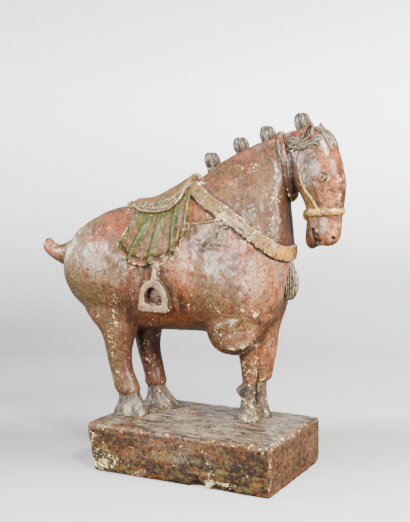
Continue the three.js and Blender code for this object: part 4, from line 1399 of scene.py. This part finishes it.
class DrapeCloth(bpy.types.Operator):
    """The fluted saddle-cloth on each flank"""

    bl_idname = "tomb_horse.drape_cloth"
    bl_label = "Drape cloth"

    def execute(self, context):
        form, green, crust = gathered([cloth_panel(side, context.scene.tack_sizes) for side in BOTH])
        worn = lattice_noise(form.points, 9, 11) * 0.6 + lattice_noise(form.points, 5, 12) * (0.3 + 3 * crust)
        worn = form.points + np.sign(form.points) * (0, 1, 0) * worn[:, None]
        fine_piece("saddle_cloth", form.moved(worn), context, {"green": green, "loss": crust}, 0.12, 0.8)
        return {"FINISHED"}


def stirrup(side, tack):
    """A broad flat ring with an arched top and a level foot, painted dark down its edge as shade, and its
    leather
    """
    x, top = STIRRUP_TOP
    broad, tall, bar = in_mm(tack, "stirrup_width", "stirrup_height", "stirrup_bar")
    thick, leather = in_mm(tack, "stirrup_thickness", "leather")
    half, foot = broad / 2, top - tall
    outer = [(x + half * across, foot + tall * up + more) for across, up, more in STIRRUP_OUTER]
    low, high, inside = foot + bar * 1.15, top - bar * 1.3, half - bar
    inner = [(x + inside * across, low + (high - low) * up + more) for across, up, more in STIRRUP_INNER]
    outer, inner = loop_through(outer, 14), loop_through(inner, 14)
    middle, reach = (outer + inner) / 2, (outer - inner) / 2
    back = flank(x, top) - 1
    wide, deep = power_of(np.cos(turns(40)), 0.4), power_of(np.sin(turns(40)), 0.4)
    face = side * (back + thick / 2 + 1 + (thick / 2 + 1) * deep)
    rings = xyz(middle[:, :1] + reach[:, :1] * wide, face, middle[:, 1:] + reach[:, 1:] * wide)
    ring = Form(rings, quads_of(*rings.shape[:2], wrap=True), "stone")
    # The ring's side walls and the leather's edges take the grime colour as painted shade
    walls = np.broadcast_to(eased((0.97 - deep) / 0.2), rings.shape[:2]).ravel()
    z, across = np.meshgrid(np.linspace(top - bar / 2, LEATHER_TOP, 30), np.linspace(-1, 1, 20))
    s = x + across * (leather / 2 * (0.86 + 0.5 * bump(z, top - bar / 2, 7)))
    coat = flank(s, z)
    crown = 7 * np.sqrt(np.clip(1 - across**4, 0, 1)) + 5 * bump(z, top - 4, 9)
    strap = slab(xyz(s, side * (coat + crown), z), xyz(s, side * (coat - 4), z), "stone")
    edges = np.tile(eased((np.abs(across) - 0.6) / 0.25).ravel(), 2)
    return joined([ring, strap]), np.concatenate([walls, edges])


class CarveStirrups(bpy.types.Operator):
    """Stirrups and their leathers"""

    bl_idname = "tomb_horse.carve_stirrups"
    bl_label = "Carve stirrups"

    def execute(self, context):
        form, dark = gathered([stirrup(side, context.scene.tack_sizes) for side in BOTH])
        worn = form.points + lattice_noise(form.points, 7, 13)[:, None] * 0.4
        fine_piece("stirrups", form.moved(worn), context, {"hollow": dark}, 0.15, 0.8)
        return {"FINISHED"}


def knot(x, z, height, width):
    """A knot of mane: an upright egg of hair wound with fine grooves, on a short stem"""
    lift = np.linspace(-np.pi / 2, np.pi / 2, 60)[1:-1, None]
    angle = turns(120)
    turn = angle + 0.35 * np.sin(2 * angle + x)
    groove = 1.2 * np.cos(11 * turn + 1.4 * lift) * np.cos(lift) ** 0.5
    across = width / 2 * np.cos(lift) ** 0.62 + groove
    lean = 1.5 * np.sin(lift)
    rings = xyz(x - lean + across * np.cos(angle), across * np.sin(angle), z + height / 2 * np.sin(lift))
    stem = ball(x + 2, 0, z - height / 2, width / 2.2, width / 2.4, 8, "hair", 32)
    # The grooves and the stem take the grime colour: painted shade in the grooves and under the knot
    cut = np.concatenate([eased((-groove - 0.15) / 0.5).ravel(), [0, 0], np.full(len(stem.points), 0.5)])
    return joined([closed(rings, "hair"), stem]), cut


class CarveMane(bpy.types.Operator):
    """Knots of mane along the crest and on the head, and the locks round the ears"""

    bl_idname = "tomb_horse.carve_mane"
    bl_label = "Carve mane"

    def execute(self, context):
        width = context.scene.horse_sizes.knot_width * MM
        crest, cut = gathered([knot(*row, width) for row in KNOTS])
        fine_piece("mane_knots", crest, context, {"hollow": cut})
        top, cut = knot(*HEAD_KNOT, width)
        head = joined([top, *self.locks()])
        cut = np.append(cut, np.zeros(len(head.points) - len(cut)))
        brow = eased((head.points[:, 0] - 176) / 12) * (head.points[:, 2] < 408)
        marks = {"hollow": cut, "pale": 0.3 * brow}
        fine_piece("head_knot_and_locks", with_head(head, context), context, marks)
        return {"FINISHED"}

    def locks(self):
        """Wavy locks that lie on the head, swept under each ear from the poll, and a forelock on the brow"""
        tree = tree_of(skin(HEAD, 12, 120).reshape(-1, 3))
        along = np.linspace(0, 1, 13)
        made = []
        for side in BOTH:
            for row in range(10):
                z = 398 - 2.3 * row - (9 - 1.2 * row) * np.sin(np.pi * along)
                z = z + 1.8 * np.sin(2 * np.pi * (1.6 * along + 0.37 * row)) + 6 * along**2
                line = xyz(135 + (56 - 1.2 * row) * along, side * 24.0, z)
                made.append(self.laid(line, tree, 2.0 + 0.6 * math.sin(2.6 * row)))
            for row in range(5):
                swing = 1.5 * np.sin(2 * np.pi * (1.4 * along + 0.41 * row))
                t = side * (2 + 4.4 * row) * (0.8 + 0.3 * along) + swing
                line = xyz(172 + 34 * along, t, 414 - (30 + 3 * math.sin(5.3 * row + side)) * along**1.6)
                made.append(self.laid(line, tree, 2.4 + 0.5 * math.sin(3.1 * row)))
        return made

    def laid(self, line, tree, radius):
        """A lock that follows a line over the head, half sunk in it"""
        taper = np.sin(np.pi * np.linspace(0.1, 0.94, len(line))) ** 0.5
        rows = []
        for point, share in zip(line, taper):
            spot = np.mean([found[0] for found in tree.find_n(point, 6)], axis=0)
            out = spot - HEAD_MIDDLE
            rows.append((*(spot + out / np.linalg.norm(out) * 0.6), radius * share))
        return strand(rows)


def strand(line):
    """A round lock of hair along a line of points with radii"""
    rows = curve_through(line, 4)
    centre, radius = rows[:, :3], np.maximum(rows[:, 3], 0.4)
    ahead = np.gradient(centre, axis=0)
    ahead /= np.linalg.norm(ahead, axis=1, keepdims=True)
    aside = np.cross(ahead, (0, 0, 1.0))
    aside /= np.linalg.norm(aside, axis=1, keepdims=True)
    cos, sin = (f(turns(12))[None, :, None] for f in (np.cos, np.sin))
    ring = aside[:, None] * cos + np.cross(aside, ahead)[:, None] * sin
    return closed(centre[:, None] + ring * radius[:, None, None], "hair")


class CarveFace(bpy.types.Operator):
    """Eyes and ears"""

    bl_idname = "tomb_horse.carve_face"
    bl_label = "Carve face"

    def execute(self, context):
        eyes, dark, pale = gathered([self.eye(side, context.scene.horse_sizes) for side in BOTH])
        fine_piece("eyes", with_head(eyes, context), context, {"hollow": 2 * dark, "pale": pale})
        ears, dent = gathered([self.ear(side) for side in BOTH])
        # The ear's slit takes the deep red and the grime colour, as painted shade in its hollow
        fine_piece("ears", with_head(ears, context), context, {"deep": dent, "hollow": 0.7 * dent})
        return {"FINISHED"}

    def eye(self, side, horse):
        """A ringed eye: pupil, ball, lid and the cut round the lid"""
        radius = horse.eye_width * MM / 2
        reach, tall, dark = curve_through(np.array(EYE_RINGS) * (radius, 1, 1), 5).T[..., None]
        x, y, z = EYE
        angle = turns(64)
        rings = xyz(x + reach * np.cos(angle) * 1.12, side * (y + tall), z + reach * np.sin(angle) * 0.98)
        shade = np.append(np.repeat(np.clip(dark, 0, 1), len(angle)), [0, 0])
        pale = np.append(np.repeat(eased((radius - reach) / 1.5), len(angle)), [1, 0])
        return closed(rings), shade, pale

    def ear(self, side):
        """A leaf-shaped ear laid against the head, with a slit for its hollow"""
        rows = [(*edges, side * across, narrow, square) for *edges, across, narrow, square in EAR]
        rings = skin(rows, 10, 60)
        s, z = rings[..., 0] - 167, rings[..., 2] - 401.5
        gap = ((0.91 * s - 0.41 * z) / 3.2) ** 2 + ((0.41 * s + 0.91 * z) / 11) ** 2
        outer = eased((rings[..., 1] * side - 21.5) / 3)
        dent = np.clip(1 - gap, 0, 1) ** 0.5 * outer
        rings[..., 1] -= side * 6 * dent
        return closed(rings), np.append(dent.ravel(), [0, 0])


def tuft(length_mm, width, thick, grooves, seed):
    """A hanging tuft of hair, drawn downwards from its top: rings with grooves of uneven width"""
    down, angle = np.linspace(0, 1, 70)[:, None], turns(150)
    end = np.sqrt(np.clip(1 - (np.clip(down - 0.55, 0, 1) / 0.47) ** 2, 0.01, 1))
    size = (0.34 + 0.66 * eased(down * 1.7)) * end
    turn = angle + 0.18 * np.sin(3 * angle + seed)
    groove = 1 + (0.08 + 0.22 * down) * np.cos(grooves * turn) * eased(down * 3)
    x, y = width / 2 * size * np.cos(angle) * groove, thick / 2 * size * np.sin(angle) * groove
    return xyz(x, y, -length_mm * down)


class CarveTassels(bpy.types.Operator):
    """The tuft on each shoulder, with the bow that it hangs from, and the long tuft on the chest"""

    bl_idname = "tomb_horse.carve_tassels"
    bl_label = "Carve tassels"

    def execute(self, context):
        parts = []
        for side in BOTH:
            for length_mm, wide, thick, top_s, top_z, lean, finish in SHOULDER_TUFTS:
                rings = tuft(length_mm, wide, thick, 9, side + top_s)
                c, s = math.cos(math.radians(lean)), math.sin(math.radians(lean))
                x = rings[..., 0] * c + rings[..., 2] * s + top_s
                z = rings[..., 2] * c - rings[..., 0] * s + top_z
                parts.append(closed(xyz(x, side * (flank(x, z) + 1) + rings[..., 1], z), finish))
            for s, z, r in BOW:
                parts.append(ball(s, side * flank(s, z), z, r, 5, r * 0.8, "hair", 36))
        pale = np.full(sum(len(part.points) for part in parts), 0.5)
        chest = closed(tuft(62, 22, 18, 17, 5) + CHEST_TUFT, "hair")
        pale = np.append(pale, np.full(len(chest.points), 0.8))
        fine_piece("tassels", joined([*parts, chest]), context, {"pale": pale})
        return {"FINISHED"}


class ShadeAndDirtAtJoins(bpy.types.Operator):
    """Darkens each carving where another one meets it: painted shade where one carving shades the next, and
    the dirt that gathers along such lines
    """

    bl_idname = "tomb_horse.settle_dirt"
    bl_label = "Settle dirt"

    def execute(self, context):
        for name, others in TOUCHING.items():
            mesh = bpy.data.objects[name].data
            filled = np.vstack([self.cells_of(bpy.data.objects[other].data) for other in others])
            filled = np.unique(self.keys(filled))
            own = self.cells_of(mesh)
            near = np.zeros(len(own))
            for step in np.ndindex(3, 3, 3):
                near += np.isin(self.keys(own + np.array(step) - 1), filled)
            near = Net(mesh).smooth(np.clip(near / 7, 0, 1), 3)
            write_values(mesh, {"hollow": np.maximum(read_values(mesh, "hollow"), 0.7 * near)})
        return {"FINISHED"}

    def cells_of(self, mesh):
        return np.floor(points_of(mesh) / SHADE_AND_DIRT_REACH).astype(np.int64)

    def keys(self, cell):
        """One number for each cell of a lattice"""
        return (cell[:, 0] + 4096) + (cell[:, 1] + 4096) * 8192 + (cell[:, 2] + 4096) * 8192**2


class SetStage(bpy.types.Operator):
    """Camera at the photograph's view, a round pale sweep and soft lights"""

    bl_idname = "tomb_horse.set_stage"
    bl_label = "Set stage"

    def execute(self, context):
        link = context.scene.collection.objects.link
        camera = bpy.data.objects.new("camera", bpy.data.cameras.new("camera"))
        link(camera)
        context.scene.camera = camera
        camera.data.lens, camera.data.sensor_width = LENS, SENSOR
        camera.location = CAMERA_PLACE
        camera.rotation_euler = (math.radians(90 - CAMERA_DOWN), 0, math.radians(CAMERA_TURN))
        self.lay_sweep()
        for name, place, power, size, tint in LIGHTS:
            light = bpy.data.lights.new(name, "AREA")
            light.energy, light.size, light.color = power, size, linear_colour(tint)[:3]
            made = bpy.data.objects.new(name, light)
            made.location = place
            made.rotation_euler = (Vector(LIT_POINT) - Vector(place)).to_track_quat("-Z", "Y").to_euler()
            made.visible_camera = False
            link(made)
        world = bpy.data.worlds.new("studio")
        world.use_nodes = True
        sky = world.node_tree.nodes["Background"].inputs
        sky["Color"].default_value, sky["Strength"].default_value = linear_colour("#F0F2F5"), 0.28
        context.scene.world = world
        return {"FINISHED"}

    def lay_sweep(self):
        """A level floor that curves up into a wall all round, with its own painted light: dim on the floor,
        with a strip of painted shade where the table ends, and brighter up the far wall and towards the side
        light, darker away from it"""
        away, up = np.maximum(curve_through(SWEEP, 24), 0).T[..., None]
        rings = xyz(away * np.cos(turns(160)), away * np.sin(turns(160)), up)
        points = rings.reshape(-1, 3)
        floor = object_of("sweep", points, quads_of(*rings.shape[:2]))
        floor.data.shade_smooth()
        behind, beside = points @ (-0.459, 0.888, 0), points @ (0.888, 0.459, 0)
        low, high = np.interp(behind, *FLOOR_GLOW), np.interp(points[:, 2], *WALL_GLOW)
        glow = np.where(points[:, 2] > 0, high, low) * np.clip(1 + 0.27 * beside, 0.6, 1.4)
        glow += np.clip(2.2 - behind, 0, 1) * 0.9 * np.clip(beside, -0.5, 0.7)
        write_values(floor.data, {"glow": np.maximum(glow, 0)})
        paper = bpy.data.materials.new("matt_backdrop_paper")
        paper.use_nodes = True
        shader = paper.node_tree.nodes["Principled BSDF"]
        shader.inputs["Base Color"].default_value = linear_colour("#868789")
        shader.inputs["Roughness"].default_value = 0.9
        shader.inputs["Emission Color"].default_value = linear_colour("#F4F6FA")
        # The glow written on the sweep's points is its painted light and shade
        glow = node(paper.node_tree, "Attribute", attribute_name="glow").outputs["Fac"]
        paper.node_tree.links.new(glow, shader.inputs["Emission Strength"])
        floor.data.materials.append(paper)
        floor.visible_diffuse = False
        floor.visible_glossy = False


STEPS = (
    SetStage, CarveBlock, CarveBody, CarveHarness, CarveSeat, JoinHorse, DrapeCloth, CarveStirrups, CarveMane,
    CarveFace, CarveTassels, ShadeAndDirtAtJoins,
)


class TombHorsePanel(bpy.types.Panel):
    """Lists the steps of the carving and its sizes and colours"""

    bl_idname = "VIEW3D_PT_tomb_horse"
    bl_label = "Tomb Horse"
    bl_space_type = "VIEW_3D"
    bl_region_type = "UI"
    bl_category = "Tomb Horse"

    def draw(self, context):
        for step in STEPS:
            self.layout.operator(step.bl_idname)
        for group in GROUPS:
            box = self.layout.box()
            settings = getattr(context.scene, group)
            for name in settings.bl_rna.properties.keys():
                if name not in ("rna_type", "name"):
                    box.prop(settings, name)


GROUPS = {
    "horse_sizes": HorseSizes, "tack_sizes": TackSizes, "block_sizes": BlockSizes,
    "surface_sizes": SurfaceSizes, "paint_colours": PaintColours,
}


def register():
    for group in (*GROUPS.values(), *STEPS, TombHorsePanel):
        bpy.utils.register_class(group)
    for name, group in GROUPS.items():
        setattr(bpy.types.Scene, name, PointerProperty(type=group))


def unregister():
    for name in GROUPS:
        delattr(bpy.types.Scene, name)
    for group in reversed((*GROUPS.values(), *STEPS, TombHorsePanel)):
        bpy.utils.unregister_class(group)


def main():
    register()
    for step in STEPS:
        folder, name = step.bl_idname.split(".")
        getattr(getattr(bpy.ops, folder), name)()


if __name__ == "__main__":
    main()
